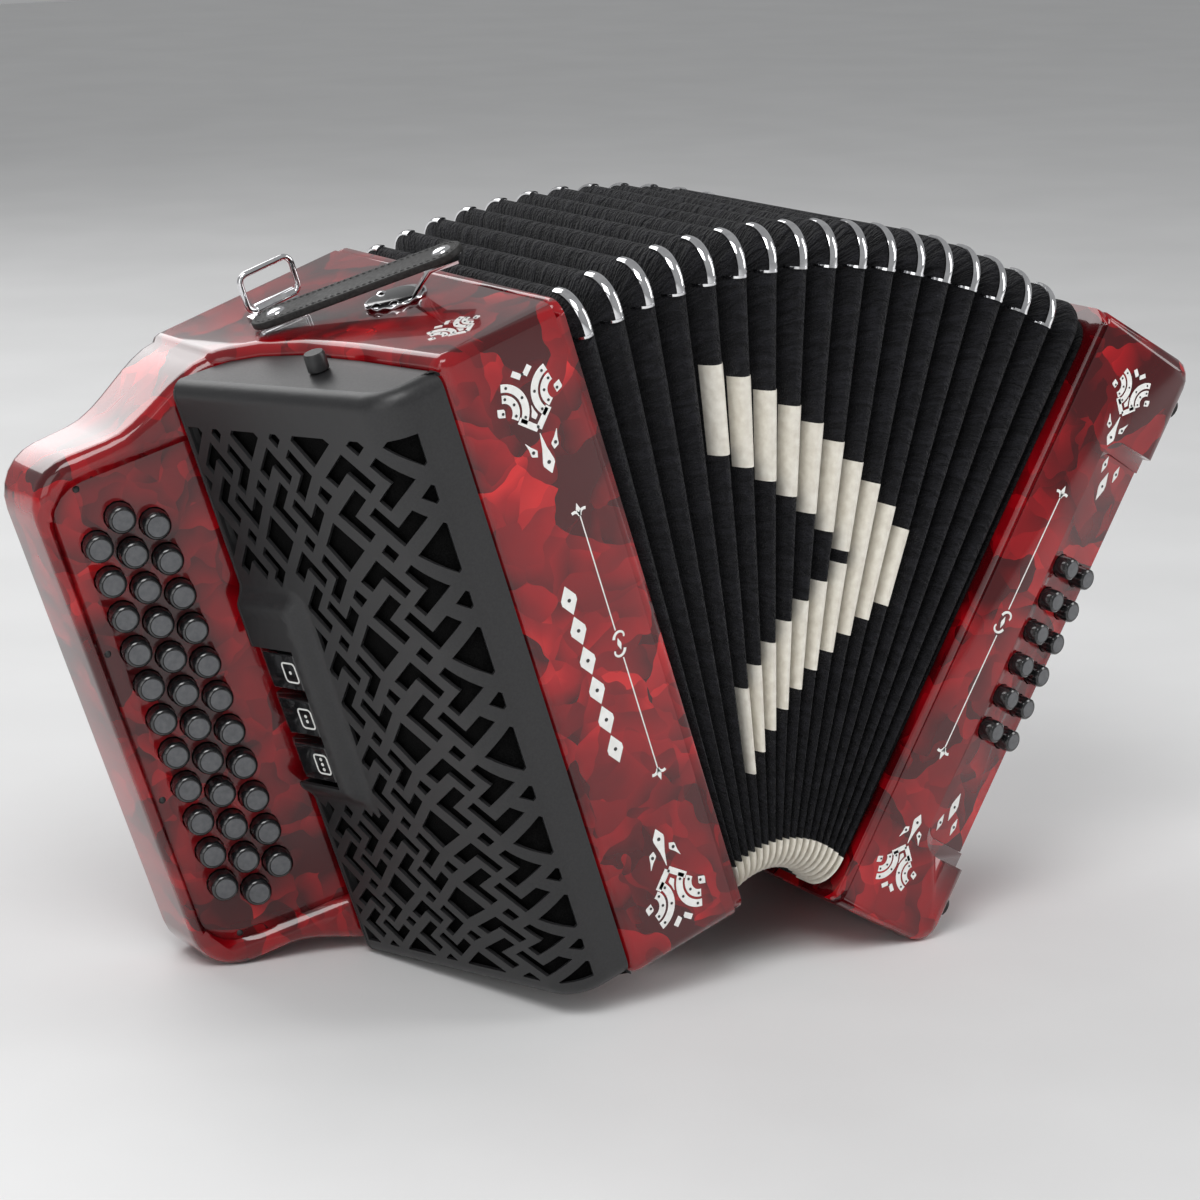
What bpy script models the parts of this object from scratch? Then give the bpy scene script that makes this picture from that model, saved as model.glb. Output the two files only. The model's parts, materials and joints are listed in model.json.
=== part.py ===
"""Three-row diatonic button accordion, standing on its two end blocks with the bellows fanned open.

Units are metres, +Z is up and the front, with the inlaid strips, faces -Y.  The treble block
leans to -X and the bass block to +X.  Both turn about one line, the fan axis, which runs along Y
through the middle of the bellows' lower edge.  Every block piece is drawn upright in its block's
own frame, whose origin is on the fan axis, and an empty on that axis leans the whole block.
"""
import math

import bmesh
import bpy
from mathutils import Matrix, Vector

# Whole instrument
HEIGHT = 0.320
HALF_DEPTH = 0.103
TREBLE_LEAN = math.radians(18.1)
BASS_LEAN = math.radians(30.8)
FAN_AXIS_X = 0.0304
FAN_AXIS_Y = 0.0022
FAN_AXIS_Z = 0.0461
GAP = 0.0003

# Bellows: the closed stack lies between the two frames, half of it on each side of the fan axis
CLOSED_STACK = 0.054
FRAME_THICKNESS = 0.005
FACE_OFFSET = CLOSED_STACK / 2 + FRAME_THICKNESS + 0.002
FOLD_FRAMES = 6
FOLD_FRAME_THICKNESS = 0.0046
FOLD_INSET = 0.0037
FOLD_BORDER = 0.0223

# Treble block, measured outwards from its bellows face
STRIP_WIDTH = 0.062
CASE_WALL = 0.006
EDGE_ROUND = 0.006
ROOT_OUT = 0.106
WING_OUT = 0.202
WING_DROP = 0.022
WING_CORNER = 0.024
OUTER_ROW_OUT = 0.180
BOARD_SLOPE = 0.228
BOARD_TILT = math.atan(BOARD_SLOPE)
RIM_RISE = 0.004

# Treble keyboard, in the board's frame: X towards the grille, Y into the wing, Z up
ROW_SPACING = 0.0144
BUTTON_PITCH = 0.0185
BUTTON_LINES = 12
BUTTON_RADIUS = 0.0069
BUTTON_HOLE_RADIUS = 0.0076
BOARD_LOW_X = -0.0165
BOARD_HIGH_X = 0.0690
BOARD_HALF_HEIGHT = 0.125
BOARD_THICKNESS = 0.003

# Grille, a slanted black shell on the outside of the treble case
GRILLE_FRONT_CORNER = 0.0934
GRILLE_SLOPE = 0.2419
GRILLE_REAR_Y = 0.0385
GRILLE_CORNER_RADIUS = 0.022
GRILLE_LOW = 0.003
GRILLE_HIGH = 0.3145
GRILLE_WALL = 0.0032
GRILLE_ROUND = 0.005

# Register switches, in the grille facet's frame: X to the rear, Y outwards, Z up
SWITCH_HEIGHTS = (0.168, 0.143, 0.118)
SWITCH_PIVOT_X = 0.1145

# Bass block, measured outwards from its bellows face
BASS_WIDTH = 0.065
BASS_CORNER = 0.012
RECESS_LOW = 0.042
RECESS_HIGH = 0.268
BASS_ROW_PITCH = 0.0178
BASS_ROWS = 6
BASS_COLUMN_X = (-0.0085, 0.0070)
BASS_BUTTON_RADIUS = 0.0056

RED = (0.42, 0.010, 0.014, 1.0)
BLACK = (0.012, 0.012, 0.013, 1.0)
CHROME = (0.78, 0.78, 0.80, 1.0)
LEATHER = (0.016, 0.015, 0.015, 1.0)
WOOD = (0.55, 0.38, 0.20, 1.0)
CLOTH = (0.014, 0.014, 0.016, 1.0)

for old in list(bpy.data.objects):
    bpy.data.objects.remove(old, do_unlink=True)

parts = bpy.data.collections.new("button_accordion")
cutters = bpy.data.collections.new("cutters")
bpy.context.scene.collection.children.link(parts)
bpy.context.scene.collection.children.link(cutters)


# ---------------------------------------------------------------- materials and placing
def finish(name, colour, roughness, metallic=0.0):
    """A plain Principled material."""
    made = bpy.data.materials.new(name)
    made.use_nodes = True
    shader = made.node_tree.nodes["Principled BSDF"]
    shader.inputs["Base Color"].default_value = colour
    shader.inputs["Roughness"].default_value = roughness
    shader.inputs["Metallic"].default_value = metallic
    return made


red_finish = finish("red_pearl", RED, 0.15)
black_finish = finish("black_satin", BLACK, 0.45)
gloss_finish = finish("black_gloss", BLACK, 0.12)
chrome_finish = finish("chrome", CHROME, 0.12, 1.0)
leather_finish = finish("leather", LEATHER, 0.6)
wood_finish = finish("wood", WOOD, 0.6)
alloy_finish = finish("alloy", (0.6, 0.6, 0.62, 1.0), 0.4, 1.0)
cloth_finish = finish("cloth", CLOTH, 0.9)
rubber_finish = finish("rubber", BLACK, 0.8)


def empty(name, location, rotation=(0, 0, 0), parent=None):
    """A frame that pieces are parented to."""
    made = bpy.data.objects.new(name, None)
    made.location = location
    made.rotation_euler = rotation
    made.parent = parent
    parts.objects.link(made)
    return made


def place(name, mesh, parent, skin=None):
    """An object for the mesh: a part when it has a finish, otherwise a hidden cutter."""
    made = bpy.data.objects.new(name, mesh)
    made.parent = parent
    if skin is None:
        made.hide_render = True
        made.display_type = "WIRE"
        cutters.objects.link(made)
    else:
        if not mesh.materials:
            mesh.materials.append(skin)
        parts.objects.link(made)
    return made


# ---------------------------------------------------------------- meshes
def mesh_of(name, bm):
    """Closes a bmesh into mesh data with its faces pointing out."""
    bmesh.ops.recalc_face_normals(bm, faces=bm.faces)
    if bm.calc_volume(signed=True) < 0:
        bmesh.ops.reverse_faces(bm, faces=bm.faces)
    mesh = bpy.data.meshes.new(name)
    bm.to_mesh(mesh)
    bm.free()
    return mesh


def boxes(name, spans):
    """Boxes given as (low corner, high corner), all in one mesh."""
    bm = bmesh.new()
    for low, high in spans:
        low, high = Vector(low), Vector(high)
        size = high - low
        where = Matrix.Translation((low + high) / 2) @ Matrix.Diagonal((*size, 1.0))
        bmesh.ops.create_cube(bm, size=1.0, matrix=where)
    return mesh_of(name, bm)


def rods(name, axis, spans, sides=24):
    """Cylinders along X, Y or Z, given as (centre of the low end, radius, length)."""
    turn = {"X": Matrix.Rotation(math.pi / 2, 4, "Y"),
            "Y": Matrix.Rotation(-math.pi / 2, 4, "X"),
            "Z": Matrix.Identity(4)}[axis]
    along = Vector([float(letter == axis) for letter in "XYZ"])
    bm = bmesh.new()
    for low, radius, length in spans:
        where = Matrix.Translation(Vector(low) + along * length / 2) @ turn
        bmesh.ops.create_cone(bm, cap_ends=True, segments=sides, radius1=radius, radius2=radius,
                              depth=length, matrix=where)
    return mesh_of(name, bm)


def slab(name, outlines, low, high, normal):
    """A flat plate: closed outlines (the first one outside, the rest holes) between two levels.

    The outline's two coordinates are the two axes left over by the normal, in X, Y, Z order.
    """
    curve = bpy.data.curves.new(name, "CURVE")
    curve.dimensions = "2D"
    curve.fill_mode = "BOTH"
    curve.extrude = (high - low) / 2
    for outline in outlines:
        spline = curve.splines.new("POLY")
        spline.points.add(len(outline) - 1)
        for point, (a, b) in zip(spline.points, outline):
            point.co = (a, b, 0.0, 1.0)
        spline.use_cyclic_u = True
    guide = bpy.data.objects.new(name, curve)
    bpy.context.scene.collection.objects.link(guide)
    graph = bpy.context.evaluated_depsgraph_get()
    mesh = bpy.data.meshes.new_from_object(guide.evaluated_get(graph))
    bpy.data.objects.remove(guide)
    bpy.data.curves.remove(curve)
    middle = (low + high) / 2
    bm = bmesh.new()
    bm.from_mesh(mesh)
    bpy.data.meshes.remove(mesh)
    bmesh.ops.remove_doubles(bm, verts=bm.verts, dist=1e-6)
    bmesh.ops.dissolve_limit(bm, angle_limit=0.01, verts=bm.verts, edges=bm.edges)
    for vert in bm.verts:
        a, b, level = vert.co.x, vert.co.y, vert.co.z + middle
        vert.co = {"Z": (a, b, level), "Y": (a, level, b), "X": (level, a, b)}[normal]
    return mesh_of(name, bm)


def arc(centre, radius, start, stop, steps):
    """Points of a circle's arc, angles in degrees."""
    turns = [math.radians(start + (stop - start) * i / steps) for i in range(steps + 1)]
    return [(centre[0] + radius * math.cos(t), centre[1] + radius * math.sin(t)) for t in turns]


def rounded(low, high, radii, steps=5):
    """A rectangle with a radius at each corner: low-low, high-low, high-high, low-high."""
    corners = (low, (high[0], low[1]), high, (low[0], high[1]))
    inward = ((1, 1), (-1, 1), (-1, -1), (1, -1))
    points = []
    for turn, (corner, (sx, sy), radius) in enumerate(zip(corners, inward, radii)):
        centre = (corner[0] + sx * radius, corner[1] + sy * radius)
        start = 180 + 90 * turn
        points += arc(centre, radius, start, start + 90, steps) if radius else [corner]
    return points


# ---------------------------------------------------------------- modifiers
def boolean(piece, other, operation):
    step = piece.modifiers.new(operation.lower(), "BOOLEAN")
    step.operation = operation
    step.object = other


def cut(piece, mesh, parent=None):
    """Removes a mesh, given in the frame of parent, from the piece."""
    boolean(piece, place("cut_" + mesh.name, mesh, parent or piece.parent), "DIFFERENCE")


def weld(piece, mesh, parent=None, round_by=0.0):
    """Joins a mesh to the piece as one solid."""
    other = place("add_" + mesh.name, mesh, parent or piece.parent)
    if round_by:
        soften(other, round_by)
    boolean(piece, other, "UNION")


def soften(piece, width, segments=3):
    """Rounds every edge sharper than 35 degrees."""
    step = piece.modifiers.new("round", "BEVEL")
    step.width = width
    step.segments = segments
    step.limit_method = "ANGLE"
    step.angle_limit = math.radians(35)
    for face in piece.data.polygons:
        face.use_smooth = True
    piece.data.set_sharp_from_angle(angle=math.radians(35))


def baked(piece):
    """The piece's mesh with its modifiers applied, in its own frame."""
    graph = bpy.context.evaluated_depsgraph_get()
    return bpy.data.meshes.new_from_object(piece.evaluated_get(graph))


def turned(name, profile, steps, shift=(0, 0, 0)):
    """A solid of revolution about Y, from (radius, y) points that run from -Y to +Y."""
    bm = bmesh.new()
    verts = [bm.verts.new((radius, y, 0.0)) for radius, y in profile]
    for first, second in zip(verts, verts[1:]):
        bm.edges.new((first, second))
    mesh = bpy.data.meshes.new(name)
    bm.to_mesh(mesh)
    bm.free()
    guide = bpy.data.objects.new(name, mesh)
    bpy.context.scene.collection.objects.link(guide)
    screw = guide.modifiers.new("turn", "SCREW")
    screw.axis = "Y"
    screw.steps = steps
    screw.render_steps = steps
    screw.use_merge_vertices = True
    screw.merge_threshold = 0.00001
    solid = baked(guide)
    bpy.data.objects.remove(guide)
    bm = bmesh.new()
    bm.from_mesh(solid)
    bpy.data.meshes.remove(solid)
    bmesh.ops.remove_doubles(bm, verts=bm.verts, dist=1e-6)
    bmesh.ops.translate(bm, vec=shift, verts=bm.verts)
    return mesh_of(name, bm)


def gathered(name, meshes):
    """Several meshes in one, each still its own body."""
    bm = bmesh.new()
    for mesh in meshes:
        bm.from_mesh(mesh)
    return mesh_of(name, bm)


# ---------------------------------------------------------------- frames of the blocks
fan_axis = empty("fan_axis", (FAN_AXIS_X, FAN_AXIS_Y, FAN_AXIS_Z))
treble = empty("treble_lean", (0, 0, 0), (0, -TREBLE_LEAN, 0), fan_axis)
bass = empty("bass_lean", (0, 0, 0), (0, BASS_LEAN, 0), fan_axis)


def tx(out):
    """X in the treble frame of a point that lies `out` beyond the block's bellows face."""
    return -(FACE_OFFSET + out)


def bx(out):
    """The same in the bass frame."""
    return FACE_OFFSET + out


def block_span(side, out_low, out_high, y_low, y_high, z_low, z_high):
    """Low and high corners of a box in a block's frame; side is tx or bx."""
    ends = sorted((side(out_low), side(out_high)))
    return (ends[0], y_low, z_low), (ends[1], y_high, z_high)


# ---------------------------------------------------------------- treble case
WALL_LINE = ((STRIP_WIDTH, -HALF_DEPTH), (0.066, -0.075), (0.070, -0.045), (0.078, -0.004),
             (0.088, 0.020), (0.098, 0.032), (ROOT_OUT, 0.038))


def rim_y(out):
    """The wing's slanted front plane."""
    return 0.0486 + BOARD_SLOPE * (out - 0.1519)


def wing_outline():
    """The wing seen from the front: a curve down from the top, two round corners and its mirror."""
    upper = []
    steps = 8
    for i in range(steps + 1):
        share = i / steps
        out = ROOT_OUT - 0.002 + (0.162 - ROOT_OUT) * share
        ease = share * share * (3 - 2 * share)
        upper.append((out, HEIGHT - 0.0025 - (WING_DROP - 0.0025) * ease))
    top = HEIGHT - WING_DROP
    corner = (WING_OUT - WING_CORNER, top - WING_CORNER)
    upper += arc(corner, WING_CORNER, 90, 0, 6)
    upper.insert(0, (0.086, HEIGHT - 0.0025))
    lower = [(out, HEIGHT - z) for out, z in reversed(upper)]
    return [(tx(out), z) for out, z in upper + lower]


def wing_mesh():
    mesh = slab("wing", [wing_outline()], 0.0, HALF_DEPTH - 0.0006, "Y")
    for vert in mesh.vertices:
        if vert.co.y < HALF_DEPTH / 2:
            vert.co.y = rim_y(-vert.co.x - FACE_OFFSET)
    return mesh


def case_plan(wall, back, mouth):
    """Plan of the main box: the slanted wall outside, a straight back and the mouth inside."""
    last = wall[-1][0]
    return [(tx(out), y) for out, y in ((mouth, wall[0][1]), *wall, (last, back), (mouth, back))]


BEYOND = 0.015
case_outline = case_plan(WALL_LINE, HALF_DEPTH, -BEYOND)
treble_case = place("treble_case", slab("treble_case", [case_outline], 0.0, HEIGHT, "Z"),
                    treble, red_finish)
soften(treble_case, EDGE_ROUND)
weld(treble_case, wing_mesh(), treble, EDGE_ROUND)
cut(treble_case, boxes("treble_mouth", [block_span(tx, -0.1, 0.0, -0.2, 0.2, -0.1, 0.5)]), treble)
inner_line = [(out - CASE_WALL, y + CASE_WALL) for out, y in WALL_LINE]
cavity = slab("treble_cavity", [case_plan(inner_line, HALF_DEPTH - CASE_WALL, -BEYOND)],
              CASE_WALL, HEIGHT - CASE_WALL, "Z")
cut(treble_case, cavity, treble)

board_y = rim_y(OUTER_ROW_OUT) + RIM_RISE / math.cos(BOARD_TILT)
board = empty("board_plane", (tx(OUTER_ROW_OUT), board_y, HEIGHT / 2), (0, 0, -BOARD_TILT), treble)


def board_plan(grow):
    """The button board's outline, grown by a margin; its outer corners are round."""
    low = (BOARD_LOW_X - grow, -BOARD_HALF_HEIGHT - grow)
    high = (BOARD_HIGH_X + grow, BOARD_HALF_HEIGHT + grow)
    outer, inner = 0.020 + grow, max(0.003 + grow, 0.001)
    return rounded(low, high, (outer, inner, inner, outer))


cut(treble_case, slab("board_seat", [board_plan(GAP)], -0.03, BOARD_THICKNESS + GAP, "Y"), board)
cut(treble_case, slab("key_well", [board_plan(-0.006)], 0.002, 0.026, "Y"), board)

# ---------------------------------------------------------------- treble keyboard
def row_z(line, row):
    """Height of a button above the board's middle: rows are staggered by half a pitch."""
    return (5.5 - line - 0.5 * (row - 1)) * BUTTON_PITCH


def rows_of(line):
    """The first line has no outer button and the last one no inner button."""
    return [row for row in range(3)
            if not (line == 0 and row == 0) and not (line == BUTTON_LINES - 1 and row == 2)]


all_buttons = [(line, row) for line in range(BUTTON_LINES) for row in rows_of(line)]

button_board = place("treble_button_board",
                     slab("treble_button_board", [board_plan(0.0)], 0.0, BOARD_THICKNESS, "Y"),
                     board, red_finish)
hole_spans = [((row * ROW_SPACING, -0.01, row_z(line, row)), BUTTON_HOLE_RADIUS, 0.02)
              for line, row in all_buttons]
cut(button_board, rods("button_holes", "Y", hole_spans, 12))

BUTTON_PROFILE = ((0.0, -0.0085), (0.0058, -0.0083), (BUTTON_RADIUS, -0.0064),
                  (BUTTON_RADIUS, 0.0065), (0.0, 0.0065))


def button_column(name, rows):
    """One slanted line of buttons on the bar that carries them under the board."""
    first, last = rows[0], rows[-1]
    start = Vector((first * ROW_SPACING, -0.5 * (first - 1) * BUTTON_PITCH))
    end = Vector((last * ROW_SPACING, -0.5 * (last - 1) * BUTTON_PITCH))
    side = (end - start).normalized().orthogonal() * 0.0035
    bar = [tuple(p) for p in (start - side, end - side, end + side, start + side)]
    piece = place(name, slab(name, [bar], 0.006, 0.0095, "Y"), board, gloss_finish)
    heads = [turned("head", BUTTON_PROFILE, 12,
                    (row * ROW_SPACING, 0.0, -0.5 * (row - 1) * BUTTON_PITCH)) for row in rows]
    weld(piece, gathered(name + "_heads", heads))
    return piece


column_meshes = {}
for line in range(BUTTON_LINES):
    rows = tuple(rows_of(line))
    if rows not in column_meshes:
        pattern = button_column("pattern", rows)
        column_meshes[rows] = baked(pattern)
        bpy.data.objects.remove(pattern)
    column = place(f"treble_buttons_{line + 1:02d}", column_meshes[rows], board, gloss_finish)
    column.location = (0, 0, row_z(line, 1))

# ---------------------------------------------------------------- grille
def grille_line(inset, rear_inset=0.0):
    """Plan of the grille's outer wall from its front to its rear end, moved inwards by inset."""
    y_front = -HALF_DEPTH + inset
    along = Vector((GRILLE_SLOPE, 1.0)).normalized()
    outward = Vector((along.y, -along.x))
    turn = math.degrees(math.acos(along.x))
    reach = GRILLE_CORNER_RADIUS * math.tan(math.radians(turn) / 2)
    centre = (GRILLE_FRONT_CORNER - reach, -HALF_DEPTH + GRILLE_CORNER_RADIUS)
    points = [(STRIP_WIDTH + GAP, y_front)]
    points += arc(centre, GRILLE_CORNER_RADIUS - inset, -90, turn - 90, 6)
    rear = Vector((GRILLE_FRONT_CORNER + GRILLE_SLOPE * (GRILLE_REAR_Y + HALF_DEPTH),
                   GRILLE_REAR_Y))
    rear = rear - outward * inset - along * rear_inset
    return points + [tuple(rear)]


def grille_plan(inset, rear_inset, inner):
    """Closed plan: the outer wall, a rear wall parallel to the wing's rim, and a line inside."""
    line = grille_line(inset, rear_inset)
    out, y = line[-1]
    line.append((inner, y - BOARD_SLOPE * (out - inner)))
    line.append((inner, line[0][1]))
    return [(tx(a), b) for a, b in line]


grille = place("treble_grille",
               slab("treble_grille", [grille_plan(0.0, 0.0, 0.050)], GRILLE_LOW, GRILLE_HIGH, "Z"),
               treble, black_finish)
soften(grille, GRILLE_ROUND, 2)

facet_turn = math.atan2(1.0, -GRILLE_SLOPE)
facet_start = grille_line(0.0)[-2]
facet = empty("grille_facet", (tx(facet_start[0]), facet_start[1], 0.0), (0, 0, facet_turn), treble)

housing = boxes("switch_housing", [((0.087, -0.006, 0.097), (0.1235, 0.005, 0.206))])
weld(grille, housing, facet, 0.003)
shell_room = slab("grille_room", [grille_plan(GRILLE_WALL, GRILLE_WALL, 0.040)],
                  GRILLE_LOW + GRILLE_WALL, GRILLE_HIGH - GRILLE_WALL, "Z")
cut(grille, shell_room)
kept_off = [(out + GAP * 1.4, y - GAP) for out, y in WALL_LINE]
kept_off[0] = (kept_off[0][0], -0.2)
cut(grille, slab("case_side", [case_plan(kept_off, 0.2, 0.0)], -0.1, 0.5, "Z"))
window_low, window_high = SWITCH_HEIGHTS[-1] - 0.0125, SWITCH_HEIGHTS[0] + 0.0125
window = (0.0990, -0.030, window_low), (0.150, 0.030, window_high)
cut(grille, boxes("switch_window", [window]), facet)

SLOT_COLUMNS = (0.006, 0.033, 0.060)
SLOT_ROWS = 9
slots = [((x, -0.012, 0.024 + 0.0315 * row), (x + 0.019, 0.012, 0.046 + 0.0315 * row))
         for x in SLOT_COLUMNS for row in range(SLOT_ROWS)]
cut(grille, boxes("grille_slots", slots), facet)

sheet_plan = grille_line(0.0036, 0.005) + list(reversed(grille_line(0.0044, 0.005)))
sheet_plan = [(tx(max(out, STRIP_WIDTH + 0.004)), y) for out, y in sheet_plan]
grille_cloth = place("grille_cloth", slab("grille_cloth", [sheet_plan], 0.0066, 0.3109, "Z"),
                     treble, cloth_finish)
cloth_window = (0.0945, -0.03, window_low - 0.002), (0.150, 0.03, window_high + 0.002)
cut(grille_cloth, boxes("cloth_window", [cloth_window]), facet)

knob = rods("grille_knob", "Z", [((tx(0.0858), -0.034, GRILLE_HIGH + GAP), 0.005, 0.009)], 20)
soften(place("grille_knob", knob, treble, black_finish), 0.0008, 2)

for index, height in enumerate(SWITCH_HEIGHTS):
    pivot = empty(f"switch_pivot_{index + 1}", (SWITCH_PIVOT_X, 0.0, height), parent=facet)
    body = boxes("switch", [((-0.0140, -0.0045, -0.0098), (0.0145, 0.0045, 0.0098))])
    switch = place(f"register_switch_{index + 1}", body, pivot, gloss_finish)
    soften(switch, 0.0009, 2)
    cut(switch, rods("finger_scoop", "Z", [((0.0175, 0.0125, -0.02), 0.0125, 0.04)], 32), pivot)

# ---------------------------------------------------------------- treble inside
def ported_board(name, side, y_low, y_high, out_low, columns, rows):
    """The board between bellows and pallets, with a grid of ports."""
    span = block_span(side, out_low, out_low + 0.004, y_low, y_high, 0.0065, HEIGHT - 0.0065)
    ports = []
    for column in range(columns):
        middle = y_low + (y_high - y_low) * (column + 0.5) / columns
        for row in range(rows):
            z = 0.040 + (HEIGHT - 0.080) * (row + 0.5) / rows
            ports.append(block_span(side, -0.1, 0.2, middle - 0.006, middle + 0.006,
                                    z - 0.011, z + 0.011))
    return boxes(name, [span]), boxes(name + "_ports", ports)


def reed_combs(name, parent, side, base_out, centres, cells):
    """Wooden combs that stand on a common base, each with a row of reed cells."""
    low, high = min(centres) - 0.014, max(centres) + 0.014
    piece = place(name, boxes(name, [block_span(side, base_out, base_out + 0.004, low, high,
                                                0.030, 0.290)]), parent, wood_finish)
    combs = [block_span(side, base_out - 0.027, base_out + 0.002, y - 0.010, y + 0.010,
                        0.034, 0.286) for y in centres]
    weld(piece, boxes(name + "_combs", combs))
    pitch = 0.236 / cells
    hollows = [block_span(side, base_out - 0.024, base_out - 0.002, y + 0.004, y + 0.02,
                          0.044 + pitch * cell, 0.040 + pitch * (cell + 1))
               for y in centres for cell in range(cells)]
    cut(piece, boxes(name + "_cells", hollows))
    return piece


board_mesh, port_mesh = ported_board("treble_soundboard", tx, -0.0965, 0.0965, 0.042, 3, 6)
cut(place("treble_soundboard", board_mesh, treble, alloy_finish), port_mesh)
reed_combs("treble_reed_blocks", treble, tx, 0.0377, (-0.055, 0.0, 0.055), 6)


def bellows_frame(name, parent, side):
    """The ledge on the block that the bellows' end is pinned to."""
    near, far = sorted((side(-GAP), side(-FRAME_THICKNESS)))
    outer = rounded((-0.1025, 0.0005), (0.1025, HEIGHT - 0.0005), (0.008,) * 4)
    inner = rounded((-0.088, 0.015), (0.088, HEIGHT - 0.015), (0.008,) * 4)
    return place(name, slab(name, [outer, inner], near, far, "X"), parent, red_finish)


bellows_frame("treble_bellows_frame", treble, tx)
bellows_frame("bass_bellows_frame", bass, bx)

# ---------------------------------------------------------------- bellows
FAN = TREBLE_LEAN + BASS_LEAN
for index in range(FOLD_FRAMES):
    share = (index + 1) / (FOLD_FRAMES + 1)
    lean = empty(f"fold_lean_{index + 1}", (0, 0, 0), (0, share * FAN - TREBLE_LEAN, 0), fan_axis)
    middle = (share - 0.5) * CLOSED_STACK
    half_y = HALF_DEPTH - FOLD_INSET
    outer = rounded((-half_y, FOLD_INSET), (half_y, HEIGHT - FOLD_INSET), (0.014,) * 4)
    inside = half_y - FOLD_BORDER
    inner = rounded((-inside, FOLD_INSET + FOLD_BORDER),
                    (inside, HEIGHT - FOLD_INSET - FOLD_BORDER), (0.006,) * 4, 3)
    half = FOLD_FRAME_THICKNESS / 2
    ring = slab("ring", [outer, inner], middle - half, middle + half, "X")
    place(f"bellows_fold_{index + 1}", ring, lean, cloth_finish)

# ---------------------------------------------------------------- straps on the treble's top
STRAP_TURN = math.radians(-39.0)
STRAP_TILT = math.radians(6.7)
STRAP_HALF = 0.053
STRAP_WIDTH = 0.022
top_mid = (tx(0.039), 0.002, HEIGHT)
level = empty("strap_level", top_mid, (0, 0, STRAP_TURN), treble)
strap_frame = empty("strap_tilt", (0, 0, 0.0111), (0, -STRAP_TILT, 0), level)
half_width = STRAP_WIDTH / 2
strap_plan = (arc((STRAP_HALF - half_width, 0), half_width, -90, 90, 8)
              + arc((-STRAP_HALF + half_width, 0), half_width, 90, 270, 8))
strap = place("bellows_strap", slab("bellows_strap", [strap_plan], -0.00175, 0.00175, "Z"),
              strap_frame, leather_finish)

base_plan = [(0.016 + 0.015 * math.cos(math.tau * i / 24), 0.0132 * math.sin(math.tau * i / 24))
             for i in range(24)]
bracket = place("strap_bracket", slab("strap_bracket", [base_plan], GAP, 0.0018, "Z"),
                level, chrome_finish)
tongue = [(0.018, 0.0004), (0.0255, 0.0004), (0.037, 0.0108), (0.051, 0.0124), (0.051, 0.0138),
          (0.0365, 0.0122), (0.0248, 0.0017), (0.018, 0.0017)]
weld(bracket, slab("bracket_tongue", [tongue], -0.008, 0.008, "Y"))

BAIL_Y = 0.0505
BAIL_Z = HEIGHT + 0.0047
BAIL_RADIUS = 0.0015
base_box = block_span(tx, 0.046, 0.072, 0.0440, 0.0575, HEIGHT + GAP, HEIGHT + 0.0019)
bail_base = place("bail_base", boxes("bail_base", [base_box]), treble, chrome_finish)
barrel_low = (tx(0.0695), BAIL_Y, BAIL_Z)
weld(bail_base, rods("bail_barrel", "X", [(barrel_low, 0.0034, 0.021)], 20))
cut(bail_base, rods("bail_bore", "X", [((tx(0.08), BAIL_Y, BAIL_Z), 0.0018, 0.05)], 16))

bail_pivot = empty("bail_pivot", (tx(0.059), BAIL_Y, BAIL_Z), parent=treble)


def wire_loop(name, points, radius, parent, skin):
    """A closed loop of round wire."""
    curve = bpy.data.curves.new(name, "CURVE")
    curve.dimensions = "3D"
    curve.bevel_depth = radius
    curve.bevel_resolution = 2
    spline = curve.splines.new("POLY")
    spline.points.add(len(points) - 1)
    for point, co in zip(spline.points, points):
        point.co = (*co, 1.0)
    spline.use_cyclic_u = True
    curve.materials.append(skin)
    made = bpy.data.objects.new(name, curve)
    made.parent = parent
    parts.objects.link(made)
    return made


loop = rounded((-0.0140, 0.0), (0.0140, 0.0185), (0.0030, 0.0030, 0.0050, 0.0050), 3)
wire_loop("strap_bail", [(x, 0.0, z) for x, z in loop], BAIL_RADIUS, bail_pivot, chrome_finish)

# ---------------------------------------------------------------- bass case
outline = [(bx(-BEYOND), 0.0)]
outline += arc((bx(BASS_WIDTH - BASS_CORNER), BASS_CORNER), BASS_CORNER, -90, 0, 4)
outline += arc((bx(BASS_WIDTH - BASS_CORNER), HEIGHT - BASS_CORNER), BASS_CORNER, 0, 90, 4)
outline += [(bx(-BEYOND), HEIGHT)]
bass_case = place("bass_case", slab("bass_case", [outline], -HALF_DEPTH, HALF_DEPTH, "Y"),
                  bass, red_finish)
soften(bass_case, EDGE_ROUND)
cut(bass_case, boxes("bass_mouth", [block_span(bx, -0.1, 0.0, -0.2, 0.2, -0.1, 0.5)]))
bass_room = block_span(bx, -0.02, 0.043, -0.080, 0.097, CASE_WALL, HEIGHT - CASE_WALL)
cut(bass_case, boxes("bass_room", [bass_room]))
rear_room = block_span(bx, 0.049, 0.09, -0.072, 0.097, 0.010, HEIGHT - 0.010)
cut(bass_case, boxes("bass_rear_room", [rear_room]))
vents = [((bx(0.03), y, z), 0.008, 0.03) for y in (-0.03, 0.05) for z in (0.08, 0.16, 0.24)]
cut(bass_case, rods("bass_vents", "X", vents, 16))

recess_mid = (RECESS_LOW + RECESS_HIGH) / 2
recess = empty("recess_plane", (bx(0.0485), -0.0973, recess_mid), (0, 0, BOARD_TILT), bass)
recess_half = (RECESS_HIGH - RECESS_LOW) / 2


def recess_plan(low_x, high_x, half, radius):
    return rounded((low_x, -half), (high_x, half), (radius, 0, 0, radius), 6)


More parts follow.
